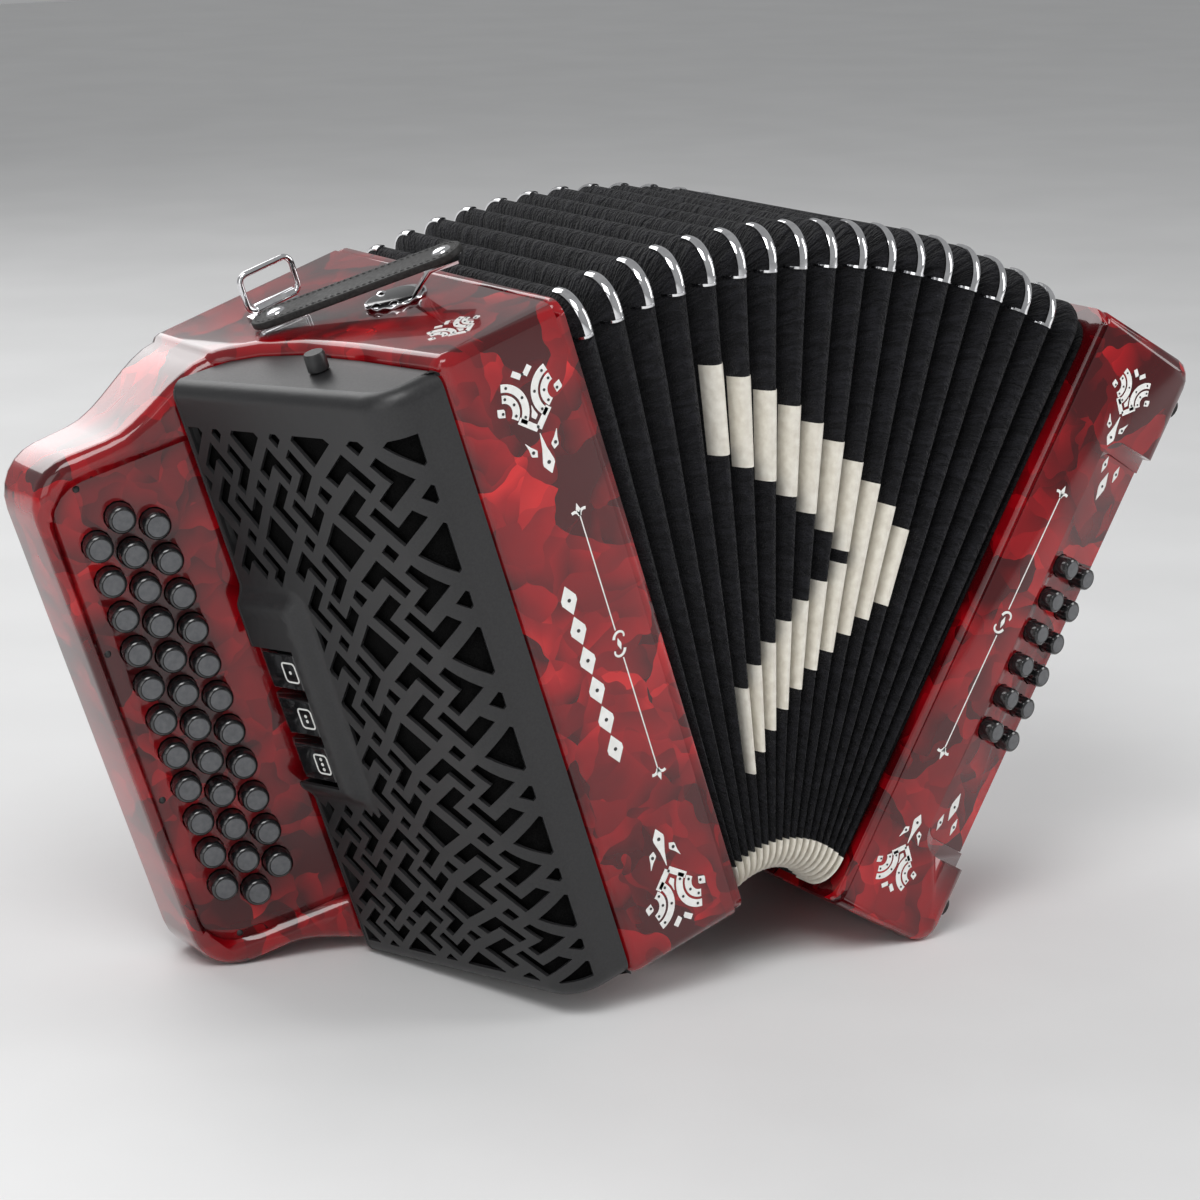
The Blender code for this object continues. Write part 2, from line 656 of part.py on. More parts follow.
cut(bass_case, slab("recess", [recess_plan(-0.019, 0.040, recess_half, 0.012)], -0.04, 0.0, "Y"),
    recess)
plate_plan = recess_plan(-0.0175, 0.0155, 0.105, 0.008)
seat_plan = recess_plan(-0.0178, 0.040, 0.1053, 0.0083)
cut(bass_case, slab("recess_seat", [seat_plan], -0.01, 0.0031, "Y"), recess)
cut(bass_case, slab("recess_well", [recess_plan(-0.0157, 0.0141, 0.098, 0.004)], 0.002, 0.0155, "Y"),
    recess)

bass_board = place("bass_button_board", slab("bass_button_board", [plate_plan], 0.0003, 0.0028, "Y"),
                   recess, red_finish)
bass_rows = [((BASS_ROWS - 1) / 2 - row) * BASS_ROW_PITCH for row in range(BASS_ROWS)]
bass_holes = [((x, -0.01, z), BASS_BUTTON_RADIUS + 0.0006, 0.02)
              for x in BASS_COLUMN_X for z in bass_rows]
cut(bass_board, rods("bass_button_holes", "Y", bass_holes, 12))

BASS_PROFILE = ((0.0, -0.0075), (0.0048, -0.0073), (BASS_BUTTON_RADIUS, -0.0056),
                (BASS_BUTTON_RADIUS, 0.0036), (0.0068, 0.0036), (0.0068, 0.0056), (0.0, 0.0056))
bass_button = turned("bass_button", BASS_PROFILE, 12)
for index in range(2 * BASS_ROWS):
    button = place(f"bass_button_{index + 1:02d}", bass_button, recess, gloss_finish)
    button.location = (BASS_COLUMN_X[index % 2], 0.0, bass_rows[index // 2])

# ---------------------------------------------------------------- bass inside and cover
board_mesh, port_mesh = ported_board("bass_soundboard", bx, -0.0795, 0.0965, 0.0385, 2, 5)
cut(place("bass_soundboard", board_mesh, bass, alloy_finish), port_mesh)
reed_combs("bass_reed_block", bass, bx, 0.0342, (-0.030, 0.045), 5)

cover_box = block_span(bx, 0.0605, 0.0648, -0.0715, 0.0965, 0.0105, HEIGHT - 0.0105)
bass_cover = place("bass_cover", boxes("bass_cover", [cover_box]), bass, red_finish)
louvres = [block_span(bx, 0.05, 0.08, -0.055, -0.025, z, z + 0.005)
           for z in (0.11 + 0.02 * i for i in range(6))]
cut(bass_cover, boxes("bass_louvres", louvres))

FOOT_PLACES = ((-0.090, 0.022), (0.086, 0.022), (-0.090, HEIGHT - 0.022), (0.086, HEIGHT - 0.022))
for index, (y, z) in enumerate(FOOT_PLACES):
    foot = rods("foot", "X", [((bx(BASS_WIDTH + GAP), y, z), 0.006, 0.005)], 18)
    soften(place(f"bass_foot_{index + 1}", foot, bass, rubber_finish), 0.001, 2)

AIR_Y, AIR_Z = -0.084, 0.277
air_hole = rods("air_hole", "X", [((bx(0.052), AIR_Y, AIR_Z), 0.0064, 0.03)], 20)
cut(bass_case, air_hole)
air_button = rods("air_button", "X", [((bx(0.0575), AIR_Y, AIR_Z), 0.0058, 0.0145)], 20)
soften(place("air_button", air_button, bass, gloss_finish), 0.0012, 2)

# ---------------------------------------------------------------- hand strap
HAND_LOW, HAND_HIGH = 0.040, 0.276
HAND_BULGE = 0.036
HAND_THICKNESS = 0.0032


def hand_line(offset):
    """The strap's line over the cover: flat at both ends and bowed out between them."""
    line = []
    steps = 16
    for i in range(steps + 1):
        share = i / steps
        bow = math.sin(math.pi * share) ** 2
        z = HAND_LOW + (HAND_HIGH - HAND_LOW) * share
        line.append((bx(BASS_WIDTH + 0.0004 + HAND_BULGE * bow + offset), z))
    return line


strap_side = hand_line(0.0) + list(reversed(hand_line(HAND_THICKNESS)))
place("hand_strap", slab("hand_strap", [strap_side], -0.008, 0.052, "Y"), bass, leather_finish)

WHEEL_Y, WHEEL_Z = 0.022, 0.290
WHEEL_OUT = BASS_WIDTH + 0.0095
housing_box = block_span(bx, BASS_WIDTH + GAP, BASS_WIDTH + 0.0125, -0.010, 0.054, 0.2785, 0.3015)
adjuster = place("strap_adjuster_housing", boxes("strap_adjuster_housing", [housing_box]),
                 bass, black_finish)
soften(adjuster, 0.0015, 2)
wheel_room = block_span(bx, BASS_WIDTH + 0.0015, BASS_WIDTH + 0.03, WHEEL_Y - 0.0095,
                        WHEEL_Y + 0.0095, WHEEL_Z - 0.0045, WHEEL_Z + 0.0045)
cut(adjuster, boxes("wheel_room", [wheel_room]))
wheel_pivot = empty("wheel_pivot", (bx(WHEEL_OUT), WHEEL_Y, WHEEL_Z), parent=bass)
wheel = rods("wheel", "Z", [((0, 0, -0.0038), 0.0075, 0.0076)], 24)
soften(place("strap_adjuster_wheel", wheel, wheel_pivot, chrome_finish), 0.0008, 2)
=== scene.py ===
# %% [markdown]
# # A three-row button accordion with its bellows fanned open
# The working model already has every body in its place.  This script gives it its looks.  New
# pieces are surfaces computed with numpy as whole arrays: a profile carried along a path, or a grid
# of two parameters.  Each one is drawn in the frame of its own block and then leaned with it.

import json
import math

import bmesh
import bpy
import numpy as np
from mathutils import Matrix, Vector


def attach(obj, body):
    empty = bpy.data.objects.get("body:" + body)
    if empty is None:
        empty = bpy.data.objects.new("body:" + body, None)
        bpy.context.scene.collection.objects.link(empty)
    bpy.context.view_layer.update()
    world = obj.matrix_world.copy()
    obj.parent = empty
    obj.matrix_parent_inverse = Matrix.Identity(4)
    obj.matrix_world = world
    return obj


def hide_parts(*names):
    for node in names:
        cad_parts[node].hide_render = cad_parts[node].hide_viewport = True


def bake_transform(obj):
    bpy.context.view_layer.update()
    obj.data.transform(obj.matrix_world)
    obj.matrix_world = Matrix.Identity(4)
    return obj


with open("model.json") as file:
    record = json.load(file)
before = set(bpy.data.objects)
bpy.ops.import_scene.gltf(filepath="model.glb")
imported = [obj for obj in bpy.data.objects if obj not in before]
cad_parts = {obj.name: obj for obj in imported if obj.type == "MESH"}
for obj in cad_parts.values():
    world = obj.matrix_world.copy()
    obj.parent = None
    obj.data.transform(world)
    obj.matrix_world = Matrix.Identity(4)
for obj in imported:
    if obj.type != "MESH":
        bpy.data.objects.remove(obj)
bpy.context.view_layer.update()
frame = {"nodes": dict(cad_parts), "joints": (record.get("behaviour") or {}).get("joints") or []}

# %% [markdown]
# The instrument is two leaning blocks that turn about one line, the fan axis.  The axis is read
# from the joint, and the driving sizes are the ones the blocks were built to.

# %% Driving sizes
HEIGHT = 0.320
HALF_DEPTH = 0.103
TREBLE_LEAN = math.radians(18.1)
BASS_LEAN = math.radians(30.8)
FACE_OFFSET = 0.034
CLOSED_STACK = 0.054
STRIP_WIDTH = 0.062
BASS_WIDTH = 0.065
BOARD_SLOPE = 0.228
BOARD_TILT = math.atan(BOARD_SLOPE)
BUTTON_LINES = 12
BUTTON_PITCH = 0.0185
ROW_SPACING = 0.0144
FOLDS = 18
fan_joint = next(joint for joint in frame["joints"] if joint["name"] == "bellows_fan")
FAN_AXIS = np.array(fan_joint["pos_m"])
print("fan axis at", FAN_AXIS.round(4))

# %% [markdown]
# A frame is a 4 by 4 matrix: three turned axes and an origin.  Each block has one, with its origin
# on the fan axis and Z running up its bellows face.  Shapes could be drawn in the world, but in a
# block's own frame every number is a plain width, depth or height, and `put` leans the result.


# %% Frames as 4 by 4 matrices
def spot(origin, axis="Z", angle=0.0):
    """A frame at `origin`, turned by `angle` about one of the axes: a move after a turn."""
    return np.array(Matrix.Translation(Vector(origin)) @ Matrix.Rotation(angle, 4, axis))


def put(where, points):
    """Points (n, 3) of a local frame, in the world: turned by the matrix, then moved."""
    points = np.asarray(points, float)
    return points @ where[:3, :3].T + where[:3, 3]


def tx(out):
    """X in the treble frame of a point that lies `out` beyond the block's bellows face."""
    return -(FACE_OFFSET + np.asarray(out, float))


def bx(out):
    """The same in the bass frame."""
    return FACE_OFFSET + np.asarray(out, float)


TREBLE = spot(FAN_AXIS, "Y", -TREBLE_LEAN)
BASS = spot(FAN_AXIS, "Y", BASS_LEAN)
BOARD_OUT = 0.180
SEAT_OUT, SEAT_Y, BOARD_THICK = 0.1519, 0.0486, 0.004
BOARD_Y = SEAT_Y + BOARD_SLOPE * (BOARD_OUT - SEAT_OUT) + BOARD_THICK / math.cos(BOARD_TILT)
BOARD = TREBLE @ spot((float(tx(BOARD_OUT)), BOARD_Y, HEIGHT / 2), "Z", -BOARD_TILT)
RECESS_OUT, RECESS_Y, RECESS_Z = 0.0485, -0.0973, 0.155
RECESS = BASS @ spot((float(bx(RECESS_OUT)), RECESS_Y, RECESS_Z), "Z", BOARD_TILT)
print("leans:", *(round(math.degrees(lean), 1) for lean in (TREBLE_LEAN, BASS_LEAN)), "degrees")

# %% [markdown]
# ## Tools for surfaces
# Every shape below is a grid of points, and most come from one of four makers: a turned profile, a
# tube along a path, a flat band with a varying width, and a plate.  Each maker gives points and
# faces, and `piece` turns them into an object with its material, its shading and its body.


# %% Grids and caps
def grid(rows, columns, close_rows=False, close_columns=False):
    """Faces of a rows x columns grid of points, row by row, each ring closed where asked."""
    row = np.arange(rows if close_rows else rows - 1)
    column = np.arange(columns if close_columns else columns - 1)
    r, c = np.meshgrid(row, column, indexing="ij")
    r2, c2 = (r + 1) % rows, (c + 1) % columns
    faces = np.stack([r * columns + c, r * columns + c2, r2 * columns + c2, r2 * columns + c], -1)
    return faces.reshape(-1, 4)


def rod(rows, columns):
    """Faces of a rod: each row is a ring, and a cap closes the first ring and the last."""
    last = (rows - 1) * columns
    return [*map(tuple, grid(rows, columns, close_columns=True)),
            tuple(range(columns - 1, -1, -1)), tuple(range(last, last + columns))]


def sleeve(rows, columns):
    """The same where each column is a ring, so the caps close the first column and the last."""
    return [*map(tuple, grid(rows, columns, close_rows=True)),
            tuple(row * columns for row in range(rows)),
            tuple(row * columns + columns - 1 for row in reversed(range(rows)))]


def raised(flat, z):
    """(x, y) points as (x, y, z) points at one level."""
    return np.concatenate([flat, np.full((len(flat), 1), z)], 1)


print("a rod of 4 rings of 32 points has", len(rod(4, 32)), "faces with its caps")


# %% Turned pieces and tubes
def merged(*shapes):
    """Several (points, faces) shapes as one: each shape's indices start after the last one's."""
    points, faces, start = [], [], 0
    for some_points, some_faces in shapes:
        points.append(some_points)
        faces += [tuple(int(i) + start for i in face) for face in some_faces]
        start += len(some_points)
    return np.concatenate(points), faces


def turned(profile, sides=32):
    """A profile of (radius, height) points turned about Z; ends at radius 0 close on the axis."""
    radius, height = np.array(profile, float).T
    turn = np.linspace(0, 2 * np.pi, sides, endpoint=False)
    points = np.stack([radius[:, None] * np.cos(turn), radius[:, None] * np.sin(turn),
                       np.repeat(height[:, None], sides, 1)], -1)
    return points.reshape(-1, 3), grid(len(radius), sides, close_columns=True)


def tube(path, radius, sides=12, closed=False, up=(0, 0, 1)):
    """A circle carried along a path: its plane is square to the path and keeps `up` beside it."""
    path = np.asarray(path, float)
    ahead = np.roll(path, -1, 0) - np.roll(path, 1, 0)
    if not closed:
        ahead[0], ahead[-1] = path[1] - path[0], path[-1] - path[-2]
    ahead /= np.linalg.norm(ahead, axis=1)[:, None]
    side = np.cross(ahead, up)
    side /= np.linalg.norm(side, axis=1)[:, None]
    over = np.cross(side, ahead)
    turn = np.linspace(0, 2 * np.pi, sides, endpoint=False)
    radius = np.broadcast_to(radius, len(path))[:, None, None]
    points = path[:, None] + radius * (np.cos(turn)[:, None] * side[:, None]
                                       + np.sin(turn)[:, None] * over[:, None])
    faces = grid(len(path), sides, True, True) if closed else rod(len(path), sides)
    return points.reshape(-1, 3), faces


print("a tube of 3 rings has", len(tube([(0, 0, 0), (1, 0, 0), (2, 0, 0)], 0.1)[0]), "points")


# %% Bands and plates
def band(path, width, low, high, chamfer=0.0001):
    """A flat band on the XY plane between two levels, along a path of (x, y) points.

    Each ring is half the width to either side of the path, with its two upper edges cut back.
    """
    path = np.asarray(path, float)
    ahead = np.gradient(path, axis=0)
    ahead /= np.linalg.norm(ahead, axis=1)[:, None]
    side = np.stack([-ahead[:, 1], ahead[:, 0]], -1)
    half = np.broadcast_to(np.asarray(width, float) / 2, len(path))[:, None]
    inner = np.maximum(half - chamfer, 0)
    rim = [(half, low), (half, high - chamfer), (inner, high),
           (-inner, high), (-half, high - chamfer), (-half, low)]
    rings = [raised(path + side * reach, z) for reach, z in rim]
    return np.stack(rings, 1).reshape(-1, 3), rod(len(path), len(rim))


def plate(outline, low, high, rounding=0.0, steps=3):
    """A convex plate on the XY plane whose upper and lower edges are rounded inwards.

    Each ring is the outline drawn towards its middle by one less the sine of a quarter turn.
    """
    outline = np.asarray(outline, float)
    middle = outline.mean(0)
    reach = np.linalg.norm(outline - middle, axis=1)[:, None]
    turn = np.linspace(0, np.pi / 2, steps + 1)
    inset = np.concatenate([rounding * (1 - np.sin(turn)), rounding * (1 - np.cos(turn))])
    level = np.concatenate([low + rounding * (1 - np.cos(turn)),
                            high - rounding * (1 - np.sin(turn))])
    rings = [middle + (outline - middle) * (1 - back / reach) for back in inset]
    points = [raised(ring, z) for ring, z in zip(rings, level)]
    return np.concatenate(points), rod(len(points), len(outline))


def rounded(low, high, radius, steps=6):
    """The outline of a rectangle with four equal round corners, each a quarter circle."""
    low, high = np.array(low, float), np.array(high, float)
    turn = np.linspace(0, np.pi / 2, steps + 1)
    points = []
    for quarter, corner in enumerate(((0, 0), (1, 0), (1, 1), (0, 1))):
        centre = np.where(corner, high - radius, low + radius)
        angle = turn + np.pi + quarter * np.pi / 2
        points.append(centre + radius * np.stack([np.cos(angle), np.sin(angle)], -1))
    return np.concatenate(points)


def facing(shape, along):
    """Turns a shape drawn on XY so that its Z axis points along the given axis name."""
    points, faces = shape
    x, y, z = points.T
    moved = {"-Y": (x, -z, y), "Y": (-x, z, y), "X": (z, x, y), "-X": (-z, -x, y),
             "Z": (x, y, z)}[along]
    return np.stack(moved, -1), faces


def shifted(shape, by):
    """The shape moved by a vector."""
    return shape[0] + np.array(by, float), shape[1]


print("an outline with round corners has", len(rounded((0, 0), (1, 1), 0.1)), "points")

# %% [markdown]
# Points and faces become a mesh with `from_pydata`.  Doubled points are merged and the normals made
# to point outwards, and edges sharper than an angle stay hard.  A part of the working model is used
# in one of two ways: `polished` copies and merges it, and `repaint` only gives it a new material.


# %% Objects
def shown(name, data):
    """An object with this data, linked into the scene."""
    made = bpy.data.objects.new(name, data)
    bpy.context.scene.collection.objects.link(made)
    return made


def piece(name, shape, material, body=None, where=None, uv=None, sharp=35.0):
    """An object from (points, faces), in the frame `where`, that rides on a body."""
    points, faces = shape
    points = points if where is None else put(where, points)
    mesh = bpy.data.meshes.new(name)
    mesh.from_pydata(points.tolist(), [], [tuple(map(int, face)) for face in faces])
    if uv is not None:
        corner = np.empty(len(mesh.loops), np.int32)
        mesh.loops.foreach_get("vertex_index", corner)
        layer = mesh.uv_layers.new(name="cloth")
        layer.data.foreach_set("uv", np.asarray(uv, np.float32)[corner].ravel())
    tidy = bmesh.new()
    tidy.from_mesh(mesh)
    bmesh.ops.remove_doubles(tidy, verts=tidy.verts, dist=1e-6)
    bmesh.ops.dissolve_degenerate(tidy, edges=tidy.edges, dist=1e-7)
    bmesh.ops.recalc_face_normals(tidy, faces=tidy.faces)
    tidy.to_mesh(mesh)
    tidy.free()
    mesh.shade_smooth()
    mesh.set_sharp_from_angle(angle=math.radians(sharp))
    mesh.materials.append(material)
    made = shown(name, mesh)
    if body:
        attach(made, body)
    return made


# %% Parts of the working model
def polished(node, body, material):
    """A merged copy of a node whose rounded edges shade smoothly while its flats stay flat."""
    mesh = frame["nodes"][node].data.copy()
    tidy = bmesh.new()
    tidy.from_mesh(mesh)
    bmesh.ops.remove_doubles(tidy, verts=tidy.verts, dist=1e-6)
    tidy.to_mesh(mesh)
    tidy.free()
    mesh.materials.clear()
    mesh.materials.append(material)
    mesh.shade_smooth()
    mesh.set_sharp_from_angle(angle=math.radians(38))
    made = shown(node + "_finish", mesh)
    weighted = made.modifiers.new("flat_faces_first", "WEIGHTED_NORMAL")
    weighted.keep_sharp = True
    weighted.weight = 100
    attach(made, body)
    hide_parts(node)
    return made


def repaint(node, material):
    """Gives a node a better material and leaves its mesh alone."""
    frame["nodes"][node].data.materials.clear()
    frame["nodes"][node].data.materials.append(material)


print("nodes to finish:", ", ".join(sorted(frame["nodes"])[:4]), "...")

# %% [markdown]
# ## Finishes
# A finish is a Principled shader whose colour, roughness and bump come from noise in object space,
# so the pattern stays on the piece when the block moves.  `grain` is the one effect that most of
# them share: a noise at a chosen size, given both as a mask and as a height.


# %% Node helpers
def nodes_of(material):
    """A material's node tree with its Principled shader."""
    material.use_nodes = True
    tree = material.node_tree
    return tree, tree.nodes["Principled BSDF"]


def add(tree, kind, inputs=None, **settings):
    """A node with its settings; an input is a value, or a socket to link from."""
    node = tree.nodes.new(kind)
    for key, value in settings.items():
        setattr(node, key, value)
    for key, value in (inputs or {}).items():
        if isinstance(value, bpy.types.NodeSocket):
            tree.links.new(value, node.inputs[key])
        else:
            node.inputs[key].default_value = value
    return node


def make_grain():
    """A group: a noise of three octaves, stretched about its middle so the contrast is chosen."""
    group = bpy.data.node_groups.new("grain", "ShaderNodeTree")
    for name, kind, value in (("Vector", "NodeSocketVector", None),
                              ("Scale", "NodeSocketFloat", 500.0),
                              ("Contrast", "NodeSocketFloat", 0.5),
                              ("Distortion", "NodeSocketFloat", 0.0)):
        socket = group.interface.new_socket(name, in_out="INPUT", socket_type=kind)
        if value is not None:
            socket.default_value = value
    group.interface.new_socket("Mask", in_out="OUTPUT", socket_type="NodeSocketFloat")
    start = group.nodes.new("NodeGroupInput")
    end = group.nodes.new("NodeGroupOutput")
    noise = add(group, "ShaderNodeTexNoise", {"Vector": start.outputs["Vector"],
                                              "Scale": start.outputs["Scale"], "Detail": 3.0,
                                              "Distortion": start.outputs["Distortion"]})
    low = add(group, "ShaderNodeMath", {0: 0.5, 1: start.outputs["Contrast"]}, operation="SUBTRACT")
    high = add(group, "ShaderNodeMath", {0: 0.5, 1: start.outputs["Contrast"]}, operation="ADD")
    wide = add(group, "ShaderNodeMapRange", {"Value": noise.outputs["Fac"],
                                             "From Min": low.outputs[0],
                                             "From Max": high.outputs[0]})
    group.links.new(wide.outputs["Result"], end.inputs["Mask"])
    return group


GRAIN = make_grain()
print("grain group:", [item.name for item in GRAIN.interface.items_tree])


def grain(tree, vector, scale, contrast=0.2, distortion=0.0):
    """Places the grain group and gives its mask."""
    node = tree.nodes.new("ShaderNodeGroup")
    node.node_tree = GRAIN
    tree.links.new(vector, node.inputs["Vector"])
    node.inputs["Scale"].default_value = scale
    node.inputs["Contrast"].default_value = contrast
    node.inputs["Distortion"].default_value = distortion
    return node.outputs["Mask"]


# %% Ramps, bumps and finishes of one grain
def ramp(tree, mask, stops):
    """A colour ramp over a mask, from (position, colour) stops."""
    node = add(tree, "ShaderNodeValToRGB", {"Fac": mask})
    elements = node.color_ramp.elements
    while len(elements) < len(stops):
        elements.new(0.5)
    for element, (position, colour) in zip(elements, stops):
        element.position = position
        element.color = (*colour, 1.0)
    return node.outputs["Color"]


def bump(tree, shader, height, strength, distance):
    """Feeds a height to the shader's normal."""
    node = add(tree, "ShaderNodeBump",
               {"Height": height, "Strength": strength, "Distance": distance})
    tree.links.new(node.outputs["Normal"], shader.inputs["Normal"])


def spread(tree, mask, low, high):
    """A mask mapped to a range of values: low where it is 0, high where it is 1."""
    return add(tree, "ShaderNodeMapRange",
               {"Value": mask, "To Min": low, "To Max": high}).outputs[0]


def simple(name, dark, light, scale, rough, height=0.0, metallic=0.0, coat=0.0, contrast=0.2,
           specular=0.5):
    """A finish with one grain in its colour, its roughness and its bump."""
    material = bpy.data.materials.new(name)
    tree, shader = nodes_of(material)
    coords = add(tree, "ShaderNodeTexCoord")
    mask = grain(tree, coords.outputs["Object"], scale, contrast)
    tree.links.new(ramp(tree, mask, ((0.0, dark), (1.0, light))), shader.inputs["Base Color"])
    tree.links.new(spread(tree, mask, *rough), shader.inputs["Roughness"])
    shader.inputs["Metallic"].default_value = metallic
    shader.inputs["Specular IOR Level"].default_value = specular
    shader.inputs["Coat Weight"].default_value = coat
    shader.inputs["Coat Roughness"].default_value = 0.06
    if height:
        bump(tree, shader, mask, 0.5, height)
    return material


print("nodes inside the grain group:", len(GRAIN.nodes))

# %% [markdown]
# Pearl celluloid is sheet with flakes of pearl in it, folded while soft, so its colour runs in
# broken, crumpled facets of light and dark red under a clear, polished surface.  Each cell of a
# bent cell pattern gets a slope in its own direction, so its shade runs from dark to light and ends
# at a crease.  Two sizes of cell and a cloud are added, and a clear coat gives the polish.

# %% Pearl celluloid
def make_pearl():
    """Shade = cloud + slope of the cell about its own centre, at two sizes of cell."""
    material = bpy.data.materials.new("red_pearl_celluloid")
    tree, shader = nodes_of(material)
    coords = add(tree, "ShaderNodeTexCoord")
    wander = add(tree, "ShaderNodeTexNoise", {"Vector": coords.outputs["Object"], "Scale": 16.0,
                                              "Detail": 3.0})
    pulled = add(tree, "ShaderNodeVectorMath", {0: wander.outputs["Color"], 1: (0.06, 0.06, 0.06)},
                 operation="MULTIPLY")
    bent = add(tree, "ShaderNodeVectorMath", {0: coords.outputs["Object"], 1: pulled.outputs[0]})
    shades = []
    for scale, slope in ((26.0, 34.0), (61.0, 42.0)):
        cell = add(tree, "ShaderNodeTexVoronoi", {"Vector": bent.outputs[0], "Scale": scale})
        off = add(tree, "ShaderNodeVectorMath", {0: bent.outputs[0], 1: cell.outputs["Position"]},
                  operation="SUBTRACT")
        way = add(tree, "ShaderNodeVectorMath", {0: cell.outputs["Color"], 1: (0.5, 0.5, 0.5)},
                  operation="SUBTRACT")
        lean = add(tree, "ShaderNodeVectorMath", {0: off.outputs[0], 1: way.outputs[0]},
                   operation="DOT_PRODUCT")
        shades.append(add(tree, "ShaderNodeMath", {0: lean.outputs["Value"], 1: slope},
                          operation="MULTIPLY").outputs[0])
    both = add(tree, "ShaderNodeMath", {0: shades[0], 1: shades[1]}, operation="ADD")
    cloud = grain(tree, bent.outputs[0], 9.0, 0.3, 0.8)
    blend = add(tree, "ShaderNodeMath", {0: cloud, 1: 0.62, 2: both.outputs[0]},
                operation="MULTIPLY_ADD")
    stops = ((0.0, (0.060, 0.0004, 0.0018)), (0.26, (0.180, 0.0008, 0.0036)),
             (0.60, (0.34, 0.002, 0.006)), (1.0, (0.64, 0.014, 0.016)))
    tree.links.new(ramp(tree, blend.outputs[0], stops), shader.inputs["Base Color"])
    tree.links.new(spread(tree, cloud, 0.28, 0.16), shader.inputs["Roughness"])
    shader.inputs["Specular IOR Level"].default_value = 0.2
    shader.inputs["Coat Weight"].default_value = 1.0
    shader.inputs["Coat Roughness"].default_value = 0.03
    return material


pearl = make_pearl()
print("pearl celluloid:", len(pearl.node_tree.nodes), "nodes")

# %% [markdown]
# The other pieces are plainer.  Each is one grain between two close colours, with a roughness that
# follows the grain: painted shell, polished plastic, plate, leather, rubber, wood.  The leather and
# the mesh get a weaker reflection, or the studio would wash them grey.

# %% Plain finishes
satin_black = simple("satin_black_paint", (0.014, 0.014, 0.015), (0.022, 0.022, 0.023), 900,
                     (0.36, 0.44))
gloss_black = simple("gloss_black", (0.008, 0.008, 0.009), (0.014, 0.014, 0.015), 300,
                     (0.09, 0.15), coat=0.6)
button_top = simple("button_top_grey", (0.085, 0.088, 0.095), (0.125, 0.128, 0.135), 420,
                    (0.28, 0.38), 0.00002)
chrome = simple("chrome_plate", (0.70, 0.70, 0.72), (0.86, 0.86, 0.87), 240, (0.05, 0.13),
                metallic=1.0)
cream = simple("cream_vinyl", (0.66, 0.62, 0.54), (0.80, 0.77, 0.69), 260, (0.34, 0.46), 0.00004)
inlay_white = simple("white_inlay", (0.80, 0.80, 0.77), (0.90, 0.90, 0.88), 300, (0.18, 0.26),
                     coat=0.6)
mesh_black = simple("grille_mesh", (0.0004, 0.0004, 0.0004), (0.005, 0.005, 0.005), 1500,
                    (0.7, 0.9), 0.0002, contrast=0.12, specular=0.06)
leather = simple("black_leather", (0.008, 0.008, 0.008), (0.030, 0.029, 0.028), 700,
                 (0.42, 0.62), 0.00015, specular=0.3)
rubber = simple("foot_rubber", (0.012, 0.012, 0.012), (0.022, 0.022, 0.022), 600, (0.7, 0.85),
                0.00005)
spruce = simple("bare_spruce", (0.42, 0.27, 0.13), (0.62, 0.44, 0.25), 90, (0.5, 0.7), 0.0001)
alloy = simple("sheet_alloy", (0.42, 0.42, 0.44), (0.60, 0.60, 0.62), 160, (0.3, 0.45),
               metallic=1.0)
thread = simple("waxed_thread", (0.05, 0.05, 0.05), (0.14, 0.14, 0.14), 1500, (0.6, 0.8), 0.0001)
print("materials:", len(bpy.data.materials))


# %% [markdown]
# The folds are card covered with a fluffy black cloth.  Glued round the crests it puckers, so fine
# wrinkles run across every fold.  The UV map is in metres, once along the fold and once across it,
# and a noise squeezed along the fold and drawn out across it makes the puckers.

# %% Bellows cloth
def make_cloth():
    """Height = pucker + a third of the fuzz; the colour is a ramp over three quarters of it."""
    material = bpy.data.materials.new("bellows_cloth")
    tree, shader = nodes_of(material)
    coords = add(tree, "ShaderNodeTexCoord")
    squeezed = add(tree, "ShaderNodeMapping",
                   {"Vector": coords.outputs["UV"], "Scale": (250, 60, 1)})
    pucker = grain(tree, squeezed.outputs[0], 1.0, 0.16, 0.9)
    fuzz = grain(tree, coords.outputs["Object"], 900, 0.2)
    both = add(tree, "ShaderNodeMath", {0: fuzz, 1: 0.35, 2: pucker}, operation="MULTIPLY_ADD")
    # The ramp paints shade into the pucker hollows and a highlight onto the pucker ridges, with the
    # fuzz as random tone.
    stops = ((0.25, (0.0035, 0.0035, 0.005)), (0.95, (0.014, 0.014, 0.018)),
             (1.0, (0.040, 0.041, 0.046)))
    pucker_shade_and_highlight = add(tree, "ShaderNodeMath", {0: both.outputs[0], 1: 0.74}, operation="MULTIPLY")
    tree.links.new(ramp(tree, pucker_shade_and_highlight.outputs[0], stops), shader.inputs["Base Color"])
    shader.inputs["Roughness"].default_value = 0.75
    shader.inputs["Specular IOR Level"].default_value = 0.25
    shader.inputs["Sheen Weight"].default_value = 0.05
    shader.inputs["Sheen Roughness"].default_value = 0.4
    bump(tree, shader, both.outputs[0], 1.0, 0.0022)
    return material


cloth = make_cloth()
print("bellows cloth:", len(cloth.node_tree.nodes), "nodes")

# %% [markdown]
# ## The two blocks
# The cases are plywood boxes with every edge rounded and celluloid drawn over them.  Their shape is
# already right, so a merged copy gets the finish, and its normals are weighted by face area: the
# flats then reflect as flats, and only the narrow edges shade as curves.

